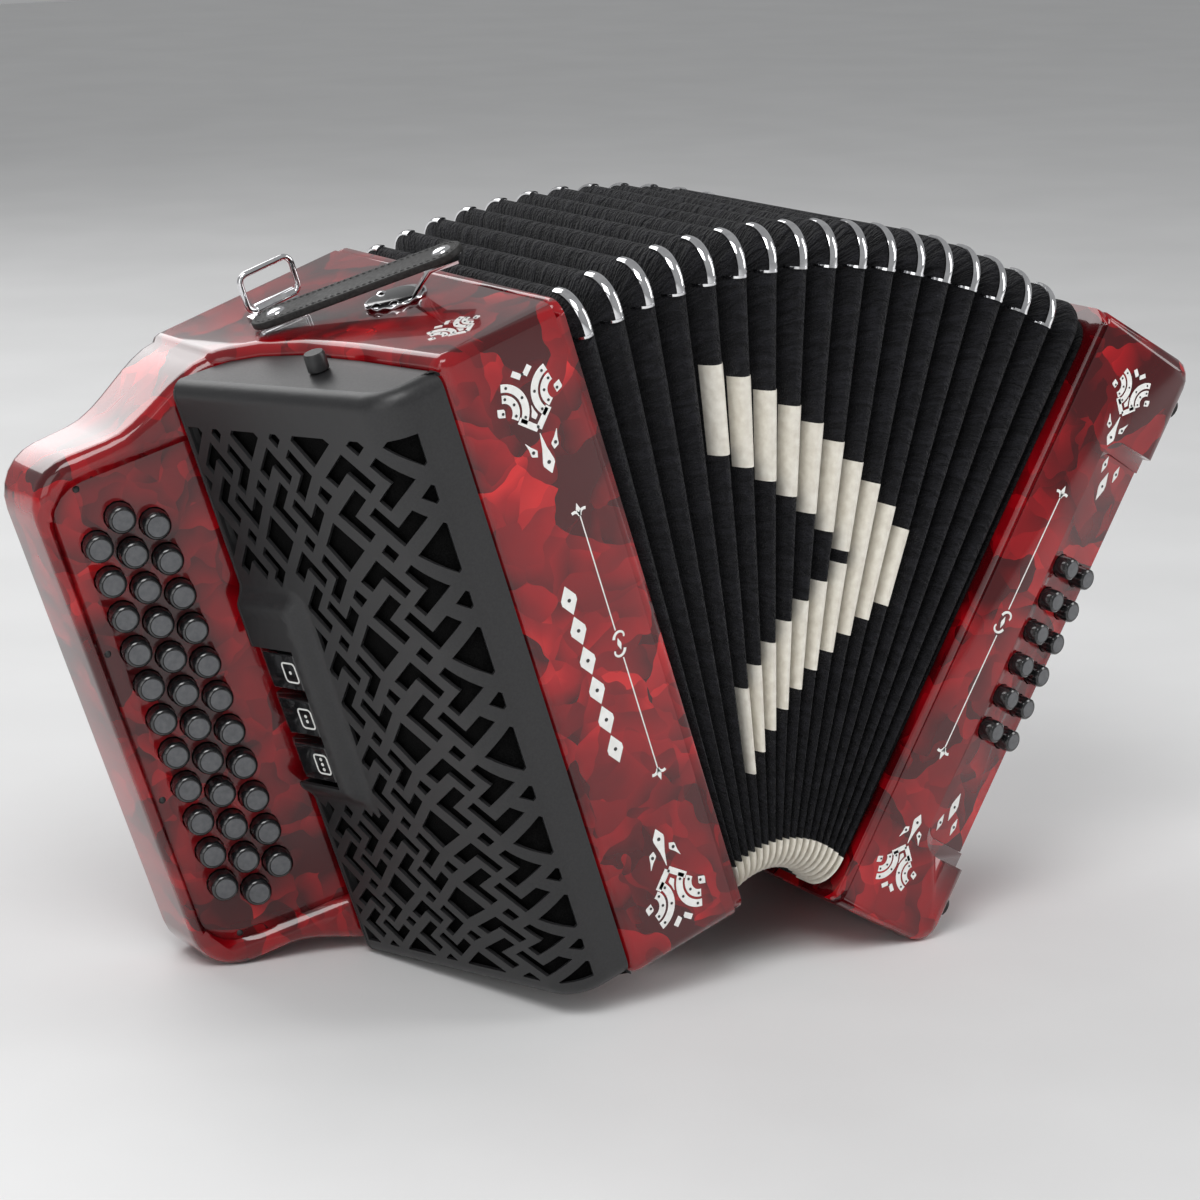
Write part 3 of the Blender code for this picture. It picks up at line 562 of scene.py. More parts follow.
# %% Cases, frames and boards
for node, body in (("treble_case", "treble"), ("treble_button_board", "treble"),
                   ("treble_bellows_frame", "treble"), ("bass_case", "bass"),
                   ("bass_bellows_frame", "bass"), ("bass_cover", "bass"),
                   ("bass_button_board", "bass")):
    polished(node, body, pearl)
for node, material in (("treble_reed_blocks", spruce), ("bass_reed_block", spruce),
                       ("treble_soundboard", alloy), ("bass_soundboard", alloy),
                       ("grille_cloth", mesh_black)):
    repaint(node, material)
for number in range(1, 5):
    polished(f"bass_foot_{number}", "bass", rubber)
polished("strap_adjuster_housing", "bass", satin_black)
polished("air_button", "bass", gloss_black)

# %% [markdown]
# ## Bellows
# Eighteen folds stand between the blocks.  Across a fold the outline of the bellows goes from a
# valley over a rounded crest to the next valley, and the plane of each line turns about the fan
# axis.  One fold is one grid: its place across the fold, and its place round the rounded rectangle.

# %% Places in the fan
FOLD_INSET = 0.0037
FOLD_DEPTH = 0.019
CORNER = 0.0165
ROUND_STEPS = 10
SIDE_STEPS = 26
TOP_STEPS = 18


def fan_place(share, y, z, away=0.0):
    """World points at a share of the way from the treble end to the bass end.

    The plane of y and z is turned about the fan axis by that share of the whole angle, and it
    stands off the middle one by that share of the closed stack, plus `away`.
    """
    share, y, z = np.broadcast_arrays(np.asarray(share, float), y, z)
    angle = share * (TREBLE_LEAN + BASS_LEAN) - TREBLE_LEAN
    x = (share - 0.5) * CLOSED_STACK + away
    points = np.stack([x * np.cos(angle) + z * np.sin(angle), y,
                       -x * np.sin(angle) + z * np.cos(angle)], -1)
    return points + FAN_AXIS


print("the fan stands open by", round(math.degrees(TREBLE_LEAN + BASS_LEAN), 1), "degrees")


# %% The outline and its inset
def crest_inset(across):
    """How deep the surface lies at -1 (valley) .. 0 (crest) .. 1 (valley): a power of the place."""
    return FOLD_INSET + FOLD_DEPTH * np.abs(across) ** 2.4


def outline_at(inset):
    """The rounded rectangle at each inset, as rings of y and of z.

    Four times round: a quarter circle, then a straight run to where the next one starts.
    """
    inset = np.asarray(inset, float)[:, None]
    half, low, high = HALF_DEPTH - inset, inset, HEIGHT - inset
    radius = CORNER - 0.55 * (inset - FOLD_INSET)
    turn = np.linspace(0, np.pi / 2, ROUND_STEPS, endpoint=False)
    ys, zs = [], []
    corners = ((1, 0, -1.0), (1, 1, 0.0), (0, 1, 1.0), (0, 0, 2.0))
    for number, (right, top, quarter) in enumerate(corners):
        centre_y = (half - radius) * (1 if right else -1)
        centre_z = high - radius if top else low + radius
        angle = turn + quarter * np.pi / 2
        ys.append(centre_y + radius * np.cos(angle))
        zs.append(centre_z + radius * np.sin(angle))
        steps = SIDE_STEPS if number in (0, 2) else TOP_STEPS
        slide = np.linspace(0, 1, steps, endpoint=False)
        end = quarter * np.pi / 2 + np.pi / 2
        next_right, next_top = corners[(number + 1) % 4][:2]
        to_y = (half - radius) * (1 if next_right else -1)
        to_z = high - radius if next_top else low + radius
        from_y = centre_y + radius * np.cos(end)
        from_z = centre_z + radius * np.sin(end)
        ys.append(from_y + (to_y + radius * np.cos(end) - from_y) * slide)
        zs.append(from_z + (to_z + radius * np.sin(end) - from_z) * slide)
    return np.concatenate(ys, 1), np.concatenate(zs, 1)


print("points round the bellows:", outline_at([FOLD_INSET])[0].shape[1])

# %% [markdown]
# Every fold has to follow the fan.  A fold could be tied to one block, but then it would tear away
# from its neighbours as the fan closes.  Here each fold is drawn at its share of the turn and of
# the way, and its mesh is baked in place without a blend between the blocks.


# %% Folds drawn in the fan
UV_STEP = 0.4
CAD_FOLDS = 6


def fan_blend(made, fold):
    """Bakes the fold's transform into its mesh; the fold does not turn between the blocks.

    It works out a point on the fold's middle plane and a line square to that plane, at the fold's
    share of the way, but nothing is made from them.
    """
    middle = (fold + 0.5) / FOLDS
    origin = fan_place(middle, 0.0, HEIGHT / 2)
    ahead = fan_place(middle, 0.0, HEIGHT / 2, 1.0) - origin
    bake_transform(made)


def fold_shape(fold):
    """One fold: eleven lines across it, each a rounded rectangle at its own inset and turn."""
    across = np.array([-1, -0.85, -0.66, -0.45, -0.22, 0, 0.22, 0.45, 0.66, 0.85, 1.0])
    share = (fold + 0.5 + across / 2) / FOLDS
    y, z = outline_at(crest_inset(across))
    points = fan_place(share[:, None], y, z)
    along = np.concatenate([[0], np.cumsum(np.hypot(np.diff(y[5]), np.diff(z[5])))])
    uv = np.stack(np.broadcast_arrays(along[None],
                                      (across * FOLD_DEPTH)[:, None] + fold * UV_STEP), -1)
    return (points.reshape(-1, 3), grid(*y.shape, close_columns=True)), uv.reshape(-1, 2)


for fold in range(FOLDS):
    shape, uv = fold_shape(fold)
    made = piece(f"bellows_pleat_{fold + 1:02d}", shape, cloth, uv=uv, sharp=60)
    fan_blend(made, fold)
    if fold < CAD_FOLDS:
        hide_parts(f"bellows_fold_{fold + 1}")
print("folds:", FOLDS, "of", len(shape[0]), "points each")

# %% [markdown]
# Where the bellows meets a block, a flat card collar closes the last valley against the frame.  It
# is the same outline at two insets and two levels, and it rides on its block.

# %% Collars
for name, body, side, share in (("treble_collar", "treble", -1, 0.0),
                                ("bass_collar", "bass", 1, 1.0)):
    inset = np.array([0.0075, 0.0075, 0.0225, 0.0225])
    away = side * np.array([0.0018, 0.0002, 0.0002, -0.0006])
    y, z = outline_at(inset)
    points = fan_place(share, y, z, away[:, None])
    uv = np.stack(np.broadcast_arrays(np.linspace(0, 1, y.shape[1])[None], inset[:, None]), -1)
    piece(name, (points.reshape(-1, 3), grid(*y.shape, close_columns=True)), cloth, body,
          uv=uv.reshape(-1, 2))
    print(name, "has", points.shape[0] * points.shape[1], "points")


# %% [markdown]
# Bright metal caps protect the upper corners of each crest.  A cap follows the crest's own corner
# arc a little way outside the cloth, and a collar stands proud at its lower end.  The lower corners
# are bound with cream tape, and cream strips on the front crests draw a big arrowhead.  All of them
# are patches: a line on the crest, carried over it a little outside the cloth.


# %% Lines and patches on a crest
def crest_patch(fold, line, reach, lift, thick):
    """A shell over the crest: a line of (y, z) with its normals, carried across the fold.

    Each point is moved in along its normal by the depth of the fold there, less the lift.
    """
    y, z, normal_y, normal_z = line
    across = np.linspace(-reach, reach, 9)
    rings = []
    for raise_by in (lift, lift + thick):
        back = crest_inset(across)[:, None] - FOLD_INSET - raise_by
        share = ((fold + 0.5 + across / 2) / FOLDS)[:, None]
        rings.append(fan_place(share, y - normal_y * back, z - normal_z * back))
    inner, outer = rings
    ring = np.concatenate([outer, inner[::-1]], 0)
    return ring.reshape(-1, 3), sleeve(*ring.shape[:2])


def corner_line(front, top, before, after, steps=12):
    """A quarter circle round a corner of the crest, with a short straight run before and after."""
    turn = np.linspace(0, np.pi / 2, steps)
    sign_y, sign_z = (-1 if front else 1), (1 if top else -1)
    centre_y = sign_y * (HALF_DEPTH - FOLD_INSET - CORNER)
    centre_z = HEIGHT - FOLD_INSET - CORNER if top else FOLD_INSET + CORNER
    normal_y, normal_z = sign_y * np.sin(turn), sign_z * np.cos(turn)
    y, z = centre_y + CORNER * normal_y, centre_z + CORNER * normal_z
    y, z, normal_y, normal_z = (np.pad(line, 1, "edge") for line in (y, z, normal_y, normal_z))
    y[0] -= sign_y * before
    z[-1] -= sign_z * after
    return y, z, normal_y, normal_z


def upright(front, low, high):
    """A straight line up the front or the back of the crest."""
    z = np.linspace(low, high, 5)
    y = np.full(5, (-1 if front else 1) * (HALF_DEPTH - FOLD_INSET))
    return y, z, np.sign(y), np.zeros(5)


print("a corner line has", len(corner_line(True, True, 0.002, 0.003)[0]), "points")

# %% Crest caps, binding and strips
SIDES = (True, False)
COLLAR_Z = HEIGHT - FOLD_INSET - CORNER - 0.0025
CAP_REACH, COLLAR_REACH, TAPE_REACH = 0.26, 0.70, 0.74
for fold in range(FOLDS - 1):
    shapes = [crest_patch(fold, corner_line(front, True, 0.002, 0.003), CAP_REACH, 0.0001, 0.0008)
              for front in SIDES]
    shapes += [crest_patch(fold, upright(front, COLLAR_Z - 0.0012, COLLAR_Z), COLLAR_REACH, 0.0001,
                           0.0011) for front in SIDES]
    made = piece(f"crest_caps_{fold + 1:02d}", merged(*shapes), chrome, sharp=50)
    fan_blend(made, fold)
for fold in range(FOLDS):
    shapes = [crest_patch(fold, corner_line(front, False, 0.010, 0.001), TAPE_REACH, 0.0001, 0.0004)
              for front in SIDES]
    made = piece(f"corner_binding_{fold + 1:02d}", merged(*shapes), cream, sharp=50)
    fan_blend(made, fold)

CHEVRON_FIRST, CHEVRON_LAST = 4, 13
CHEVRON_TOP, CHEVRON_STEP, CHEVRON_SUM = 0.259, 0.009, 0.318
STRIP_HEIGHT = 0.043
for fold in range(CHEVRON_FIRST, CHEVRON_LAST + 1):
    top = CHEVRON_TOP - CHEVRON_STEP * (fold - CHEVRON_FIRST)
    low = CHEVRON_SUM - top
    spans = [(top - STRIP_HEIGHT, top), (low, low + STRIP_HEIGHT)]
    if spans[0][0] <= spans[1][1]:
        spans = [(low, top)]
    shapes = [crest_patch(fold, upright(True, *span), TAPE_REACH, 0.00015, 0.0004)
              for span in spans]
    made = piece(f"cream_strips_{fold + 1:02d}", merged(*shapes), cream, sharp=50)
    fan_blend(made, fold)
print("caps on", FOLDS - 1, "crests, strips on", CHEVRON_LAST - CHEVRON_FIRST + 1)

# %% [markdown]
# ## Grille
# The grille is a thin black shell with a fret cut through it.  Seen from above, its plan is a
# straight front, a round corner and a long slanting side.  A point is given by its distance along
# the plan and its height, so a flat sheet can be drawn first and bent afterwards.

# %% The grille's plan
GRILLE_FRONT_CORNER = 0.0934
GRILLE_SLOPE = 0.2419
GRILLE_REAR_Y = 0.0385
GRILLE_RADIUS = 0.022
GRILLE_LOW, GRILLE_HIGH = 0.003, 0.3145
GRILLE_EDGE = 0.0075
GRILLE_THICK = 0.0018
GRILLE_START = STRIP_WIDTH + 0.0005
facet_along = np.array([GRILLE_SLOPE, 1.0]) / math.hypot(GRILLE_SLOPE, 1.0)
facet_out = np.array([facet_along[1], -facet_along[0]])
corner_turn = math.acos(facet_along[0])
corner_centre = np.array([GRILLE_FRONT_CORNER - GRILLE_RADIUS * math.tan(corner_turn / 2),
                          -HALF_DEPTH + GRILLE_RADIUS])
straight_front = corner_centre[0] - GRILLE_START
arc_length = GRILLE_RADIUS * corner_turn
facet_start = corner_centre + GRILLE_RADIUS * facet_out
grille_rear = np.array([GRILLE_FRONT_CORNER + GRILLE_SLOPE * (GRILLE_REAR_Y + HALF_DEPTH),
                        GRILLE_REAR_Y])
facet_length = float(np.linalg.norm(grille_rear - facet_start))
GRILLE_LENGTH = straight_front + arc_length + facet_length
FACET_AT = straight_front + arc_length
FACET = TREBLE @ spot((float(tx(facet_start[0])), facet_start[1], 0.0), "Z",
                      math.atan2(1.0, -GRILLE_SLOPE))
print("grille runs", round(GRILLE_LENGTH, 4), "m round its plan")


# %% From the flat sheet to the shell
def grille_plan(along):
    """(out, y) and the outward normal at a distance along the plan: straight, arc, straight."""
    along = np.asarray(along, float)[..., None]
    front = np.stack([GRILLE_START + along[..., 0], np.full(along.shape[:-1], -HALF_DEPTH)], -1)
    angle = (along - straight_front) / GRILLE_RADIUS - np.pi / 2
    radial = np.concatenate([np.cos(angle), np.sin(angle)], -1)
    bend = corner_centre + GRILLE_RADIUS * radial
    side = facet_start + (along - FACET_AT) * facet_along
    on_front, on_side = along < straight_front, along > FACET_AT
    place = np.where(on_front, front, np.where(on_side, side, bend))
    normal = np.where(on_front, np.array([0.0, -1.0]), np.where(on_side, facet_out, radial))
    return place, normal


def smooth(value):
    """A soft step from 0 to 1."""
    value = np.clip(value, 0, 1)
    return value * value * (3 - 2 * value)


HOUSING_FROM, HOUSING_LOW, HOUSING_HIGH, HOUSING_LIFT = 0.085, 0.094, 0.211, 0.0055


def housing_rise(along, z):
    """The pressed-out housing round the switches: a flat top with soft slopes on three sides."""
    x = along - FACET_AT
    return (HOUSING_LIFT * smooth((x - HOUSING_FROM) / 0.009)
            * smooth((z - HOUSING_LOW) / 0.010) * smooth((HOUSING_HIGH - z) / 0.010))


def grille_surface(along, z):
    """World points of the shell: the plan's line, drawn in at top and bottom over a round edge."""
    place, normal = grille_plan(along)
    high = np.clip((z - (GRILLE_HIGH - GRILLE_EDGE)) / GRILLE_EDGE, 0, 1)
    low = np.clip(((GRILLE_LOW + GRILLE_EDGE) - z) / GRILLE_EDGE, 0, 1)
    over = np.maximum(high, low)
    back = GRILLE_EDGE * (1 - np.sqrt(1 - over ** 2)) - housing_rise(along, z)
    place = place - normal * back[..., None]
    return np.stack([tx(place[..., 0]), place[..., 1], z], -1)


print("the housing stands out by", float(housing_rise(FACET_AT + 0.12, 0.15)), "m")

# %% [markdown]
# The fret repeats one tile: a square stood on its corner, small squares between neighbours, and
# four angled slots turning round the middle like a windmill.  Booleans could cut it, but they are
# slow and leave slivers.  So the flat sheet is drawn on the tile's own diagonal lines, and a rule
# says which of its faces are open.

# %% The fret's tile
FRET_COLUMNS = (0.020, 0.086, 0.1295, 0.168)
FRET_ROWS = (0.013, 0.048, 0.089, 0.135, 0.186, 0.238, 0.291)
FRET_LINES = np.array([0.065, 0.24, 0.41, 0.59, 0.76, 0.935])
FRET_WINDOW = (0.0185, 0.168, 0.0125, 0.2935)


def fret_opening(a, b):
    """True where the sheet is open, in units of a tile, with a and b along the two diagonals.

    A large square sits on every lattice point, where a + b is even, and a small one half way
    between neighbours.  Round each cell's middle, where a + b is odd, four angled slots turn like
    the arms of a windmill: one slot, and the same slot turned by one, two and three quarters.
    """
    across, up = -(a + b) / 2, (b - a) / 2
    near_a = -(across - np.round(across)) - (up - np.round(up))
    near_b = -(across - np.round(across)) + (up - np.round(up))
    is_open = (abs(near_a) < 0.24) & (abs(near_b) < 0.24)
    is_open |= (abs(a % 1 - 0.5) < 0.09) & (abs(b % 1 - 0.5) < 0.09)
    across, up = across % 1 - 0.5, up % 1 - 0.5
    x, y = -across - up, up - across
    for quarter in range(4):
        is_open |= (x > -0.59) & (x < -0.065) & (y > 0.065) & (y < 0.24)
        is_open |= (x > -0.59) & (x < -0.41) & (y > -0.24) & (y < 0.24)
        x, y = y, -x
    return is_open


sample = np.linspace(-1, 1, 200, endpoint=False)
print("open share of a tile:", fret_opening(*np.meshgrid(sample, sample)).mean().round(3))


# %% The flat sheet
def fret_sheet():
    """A flat sheet in (along, z) on the tile's diagonal lines, marked where it is open.

    The lines are a grid in a and b; half their sum and half their difference count tiles across
    and up, and a table of tile edges turns the counts into metres.
    """
    lines = (np.arange(-11, 11)[:, None] + FRET_LINES).ravel()
    a, b = np.meshgrid(lines, lines, indexing="ij")
    across, up = -(a + b) / 2, (b - a) / 2
    flat = []
    for value, knots in ((across, FRET_COLUMNS), (up, FRET_ROWS)):
        knots = np.array(knots)
        steps = np.arange(len(knots))
        inside = np.interp(value, steps, knots)
        before = np.minimum(value, 0) * (knots[1] - knots[0])
        after = np.maximum(value - steps[-1], 0) * (knots[-1] - knots[-2])
        flat.append(inside + before + after)
    flat = np.stack([*flat, np.zeros_like(a)], -1).reshape(-1, 3)
    faces = grid(len(lines), len(lines))
    middle = flat[faces].mean(1)
    near = ((middle[:, 0] > -0.02) & (middle[:, 0] < GRILLE_LENGTH + 0.02)
            & (middle[:, 1] > -0.02) & (middle[:, 1] < HEIGHT + 0.02))
    is_open = fret_opening(a.ravel()[faces].mean(1), b.ravel()[faces].mean(1))
    mesh = bpy.data.meshes.new("fret")
    mesh.from_pydata(flat.tolist(), [], [tuple(map(int, face)) for face in faces[near]])
    mark = mesh.attributes.new("opening", "INT", "FACE")
    mark.data.foreach_set("value", is_open[near].astype(np.int32))
    return mesh


fret_mesh = fret_sheet()
print("sheet faces:", len(fret_mesh.polygons))

# %% [markdown]
# The sheet is now sliced along every line where it has to end or bend: its four edges, the window
# round the fret, the switches' opening, the arc of the corner and the soft slopes of the housing.
# The openings are taken out only then, so each one keeps straight edges.


# %% Slicing the sheet
def slice_at(sheet, point, normal, clear=False):
    """Cuts every face of the sheet along a line, and clears what lies beyond it where asked."""
    everything = sheet.verts[:] + sheet.edges[:] + sheet.faces[:]
    bmesh.ops.bisect_plane(sheet, geom=everything, plane_co=point, plane_no=normal, dist=1e-7,
                           clear_outer=clear)


SWITCH_FROM, SWITCH_LOW, SWITCH_HIGH = FACET_AT + 0.0990, 0.1055, 0.1805
HOUSING_EDGE = FACET_AT + HOUSING_FROM
edge_steps = [GRILLE_EDGE * (1 - math.cos(step * math.pi / 12)) for step in range(1, 7)]
sheet = bmesh.new()
sheet.from_mesh(fret_mesh)
for point, normal in (((0, 0, 0), (-1, 0, 0)), ((GRILLE_LENGTH, 0, 0), (1, 0, 0)),
                      ((0, GRILLE_LOW, 0), (0, -1, 0)), ((0, GRILLE_HIGH, 0), (0, 1, 0))):
    slice_at(sheet, point, normal, True)
for at in (*FRET_WINDOW[:2], straight_front, SWITCH_FROM, HOUSING_EDGE - 0.003,
           *(FACET_AT - arc_length * step / 8 for step in range(9)),
           *(HOUSING_EDGE + 0.003 * step for step in range(4))):
    slice_at(sheet, (at, 0, 0), (1, 0, 0))
for at in (*FRET_WINDOW[2:], SWITCH_LOW, SWITCH_HIGH,
           *(HOUSING_LOW + 0.0025 * step for step in range(5)),
           *(HOUSING_HIGH - 0.0025 * step for step in range(5)),
           *(GRILLE_HIGH - step for step in edge_steps),
           *(GRILLE_LOW + step for step in edge_steps)):
    slice_at(sheet, (0, at, 0), (0, 1, 0))


def taken_out(along, z, is_open):
    """Whether a face goes: in the switches' opening, or open in the window and off the housing."""
    left, right, low, high = FRET_WINDOW
    in_window = left < along < right and low < z < high
    by_housing = along > HOUSING_EDGE - 0.003 and HOUSING_LOW - 0.004 < z < HOUSING_HIGH + 0.004
    in_switches = along > SWITCH_FROM and SWITCH_LOW < z < SWITCH_HIGH
    return in_switches or (is_open and in_window and not by_housing)


opening = sheet.faces.layers.int["opening"]
gone = [face for face in sheet.faces
        if taken_out(*face.calc_center_median()[:2], face[opening])]
bmesh.ops.delete(sheet, geom=gone, context="FACES")
bmesh.ops.dissolve_degenerate(sheet, edges=sheet.edges, dist=2e-5)
sheet.to_mesh(fret_mesh)
sheet.free()
print("faces taken out:", len(gone), "left:", len(fret_mesh.polygons))

# %% [markdown]
# Now the sheet is bent: every point goes from (along, height) to its place on the shell.  It gets
# its wall last, inwards, so the outer face keeps the exact shape.  The tool that makes the wall
# lists its faces in another order on each run, so they are sorted before the mesh is filled.

# %% Bending the sheet
flat = np.empty(len(fret_mesh.vertices) * 3)
fret_mesh.vertices.foreach_get("co", flat)
flat = flat.reshape(-1, 3)
bent = grille_surface(flat[:, 0], np.clip(flat[:, 1], GRILLE_LOW, GRILLE_HIGH))
shell_points = put(TREBLE, bent)
fret_mesh.vertices.foreach_set("co", shell_points.ravel())
fret_mesh.materials.append(satin_black)
fret = shown("grille_fret", fret_mesh)
outward = put(TREBLE, [[-1.0, -0.1, 0.0]])[0] - put(TREBLE, [[0.0, 0.0, 0.0]])[0]
normal_sum = np.array([face.normal[:] for face in fret_mesh.polygons]).sum(0)
if normal_sum @ outward < 0:
    fret_mesh.flip_normals()
shell = bmesh.new()
shell.from_mesh(fret_mesh)
bmesh.ops.solidify(shell, geom=shell.faces[:], thickness=GRILLE_THICK)
bmesh.ops.recalc_face_normals(shell, faces=shell.faces)


def in_order(ring):
    """The corners of a face from its lowest index on, so that every run gives the same list."""
    first = ring.index(min(ring))
    return ring[first:] + ring[:first]


shell.verts.index_update()
shell_points = [vert.co[:] for vert in shell.verts]
shell_faces = sorted(in_order([vert.index for vert in face.verts]) for face in shell.faces)
shell.free()
fret_mesh.clear_geometry()
fret_mesh.from_pydata(shell_points, [], shell_faces)
fret_mesh.shade_smooth()
fret_mesh.set_sharp_from_angle(angle=math.radians(35))
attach(fret, "treble")
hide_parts("treble_grille")
print("fret faces:", len(fret_mesh.polygons))

# %% [markdown]
# The shell turns over at top and bottom into flat flanges that reach to the red case.  A flange is
# a ruled surface between the shell's edge and the case wall, and a rear wall closes the far end.

# %% Flanges
WALL_LINE = np.array([(0.062, -0.103), (0.066, -0.075), (0.070, -0.045), (0.078, -0.004),
                      (0.088, 0.020), (0.098, 0.032), (0.106, 0.0355)])
wall_steps = np.concatenate([[0], np.cumsum(np.hypot(*np.diff(WALL_LINE, axis=0).T))])


def case_line(share):
    """(out, y) on the case wall at a share of its length, on straight lines between its points."""
    at = np.asarray(share) * wall_steps[-1]
    return np.stack([np.interp(at, wall_steps, WALL_LINE[:, 0]),
                     np.interp(at, wall_steps, WALL_LINE[:, 1])], -1)


def flange(z, below):
    """A flange at one level: straight lines from the shell's edge to the case, `below` thick."""
    along = np.linspace(0, GRILLE_LENGTH, 60)
    edge, normal = grille_plan(along)
    edge = edge - normal * (GRILLE_EDGE * 0.98)
    edge[:, 1] = np.maximum(edge[:, 1], -HALF_DEPTH + 0.0002)
    near_case = case_line(np.linspace(0, 1, 60)) + np.array([0.0006, 0.0])
    rings = []
    for level in (z, z + below):
        for share in (0.0, 1.0):
            line = edge + (near_case - edge) * share
            rings.append(np.stack([tx(line[:, 0]), line[:, 1], np.full(60, level)], -1))
    ring = np.stack([rings[0], rings[1], rings[3], rings[2]], 0)
    return ring.reshape(-1, 3), sleeve(4, 60)


print("the line on the case wall is", round(float(wall_steps[-1]), 4), "m long")

# %% Rear wall and knob
REAR_OUT = 0.1075
rear_in = np.array([REAR_OUT, GRILLE_REAR_Y - BOARD_SLOPE * (grille_rear[0] - REAR_OUT)])


def rear_wall(low, high, thick=0.0014):
    """Straight lines from the shell's rear edge, housing and all, back to the case."""
    z = np.linspace(low, high, 40)
    edge = grille_surface(np.full(40, GRILLE_LENGTH), z)
    case = np.stack([np.full(40, tx(rear_in[0])), np.full(40, rear_in[1]), z], -1)
    share = np.array([0.0, 1.0])[:, None, None]
    rings = np.concatenate([edge + (case - edge) * share,
                            (edge + (case - edge) * share)[::-1] - [0, thick, 0]])
    return rings.reshape(-1, 3), sleeve(4, 40)


closing = merged(flange(GRILLE_HIGH, -0.0016), flange(GRILLE_LOW, 0.0016),
                 rear_wall(GRILLE_LOW + 0.003, SWITCH_LOW),
                 rear_wall(SWITCH_HIGH, GRILLE_HIGH - 0.003))
piece("grille_flanges", closing, satin_black, "treble", TREBLE)
KNOB = ((0, 0), (0.0044, 0), (0.0050, 0.0008), (0.0050, 0.0078), (0.0044, 0.0090), (0, 0.0090))
knob = shifted(turned(KNOB), (float(tx(0.0858)), -0.034, GRILLE_HIGH + 0.0003))
knob = piece("flange_knob", knob, satin_black, "treble", TREBLE)
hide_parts("grille_knob")
print("flanges and rear wall:", len(closing[1]), "faces")

# %% [markdown]
# ## Switches
# Three rockers stand in the housing.  Each has a hollow for the fingertip at its rear end, which
# the solid already has, and a white frame round a sign of one, two or three plain dots.

# %% Register switches
SWITCH_Z = (0.168, 0.143, 0.118)
SIGN_HIGH = 0.0002
for number, z in enumerate(SWITCH_Z, 1):
    body = f"register_{number}"
    polished(f"register_switch_{number}", body, gloss_black)
    outer = rounded((-0.0045, -0.0052), (0.0045, 0.0052), 0.0019)
    ring_path = np.concatenate([outer, outer[:2]])
    shapes = [band(ring_path, 0.0009, 0.0, SIGN_HIGH, 0.00005)]
    disc = turned(((0, 0), (0.0009, 0), (0.0009, SIGN_HIGH), (0, SIGN_HIGH)), 16)
    shapes += [shifted(disc, (0, (at - (number - 1) / 2) * 0.0028, 0)) for at in range(number)]
    sign = facing(merged(*shapes), "Y")
    where = FACET @ spot((0.1065, 0.00452, z))
    piece(f"switch_sign_{number}", sign, inlay_white, body, where)
print("switches:", len(SWITCH_Z))

# %% [markdown]
# ## Buttons
# Treble and bass buttons are turned from black plastic with a flat grey top.  A line of treble
# buttons moves as one piece, so its heads are one object, and a disc on each carries the grey.

# %% Treble buttons
ROWS = 3
HEAD = ((0, 0.0045), (0.0069, 0.0045), (0.0069, -0.0064), (0.0066, -0.0077), (0.0060, -0.0084),
        (0.0054, -0.0087), (0.0050, -0.0085), (0, -0.0084))
DISC = ((0, -0.0083), (0.0050, -0.0083), (0.0049, -0.00875), (0, -0.0089))


def along_y(shape):
    """A shape turned about Z, with its axis laid along Y."""
    points, faces = shape
    return points[:, [0, 2, 1]], faces


def rows_of(line):
    """The first line has no outer button and the last one no inner button."""
    return [row for row in range(ROWS) if (line, row) not in ((0, 0), (BUTTON_LINES - 1, 2))]


def row_z(line, row):
    """How high a button sits: whole pitches down from the first line, and half of one for a row."""
    return (5.5 - line - 0.5 * (row - 1)) * BUTTON_PITCH


for line in range(BUTTON_LINES):
    body = f"treble_keys_{line + 1:02d}"
    seats = [(row * ROW_SPACING, 0, row_z(line, row)) for row in rows_of(line)]
    heads = merged(*(shifted(along_y(turned(HEAD)), seat) for seat in seats))
    discs = merged(*(shifted(along_y(turned(DISC)), seat) for seat in seats))
    made = piece(f"button_heads_{line + 1:02d}", heads, gloss_black, body, BOARD)
    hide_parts(f"treble_buttons_{line + 1:02d}")
    piece(f"button_discs_{line + 1:02d}", discs, button_top, body, BOARD)
print("treble buttons in each line:", [len(rows_of(line)) for line in range(BUTTON_LINES)])

# %% [markdown]
# The bass buttons are smaller and stand in pairs, one pair for each row of the recess.  Each moves
# by itself, so it is a piece of its own on its own body.

# %% Bass buttons
BASS_PITCH = 0.0178
BASS_PLACES = (-0.0085, 0.0070)
BASS_HEAD = ((0, 0.0030), (0.0056, 0.0030), (0.0056, -0.0056), (0.0052, -0.0069), (0.0045, -0.0074),
             (0.0040, -0.0072), (0, -0.0071))
BASS_DISC = ((0, -0.0070), (0.0040, -0.0070), (0.0039, -0.0074), (0, -0.0076))
for number in range(12):
    seat = (BASS_PLACES[number % 2], 0, (2.5 - number // 2) * BASS_PITCH)
    body = f"bass_key_{number + 1:02d}"
    made = piece(f"bass_head_{number + 1:02d}", shifted(along_y(turned(BASS_HEAD)), seat),
                 gloss_black, body, RECESS)
    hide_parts(f"bass_button_{number + 1:02d}")
    piece(f"bass_disc_{number + 1:02d}", shifted(along_y(turned(BASS_DISC)), seat), button_top,
          body, RECESS)
print("buttons:", sum(len(rows_of(line)) for line in range(BUTTON_LINES)), "treble and 12 bass")


# %% [markdown]
# Small round-headed screws hold the button board round its edge.  They are one piece, because none
# of them moves by itself.

# %% Board screws
def screw_head(radius, high):
    """A domed head: a quarter of an ellipse turned about its axis."""
    turn = np.linspace(0, np.pi / 2, 6)
    return turned([(0, 0)] + list(zip(radius * np.cos(turn), -high * np.sin(turn))), 20)


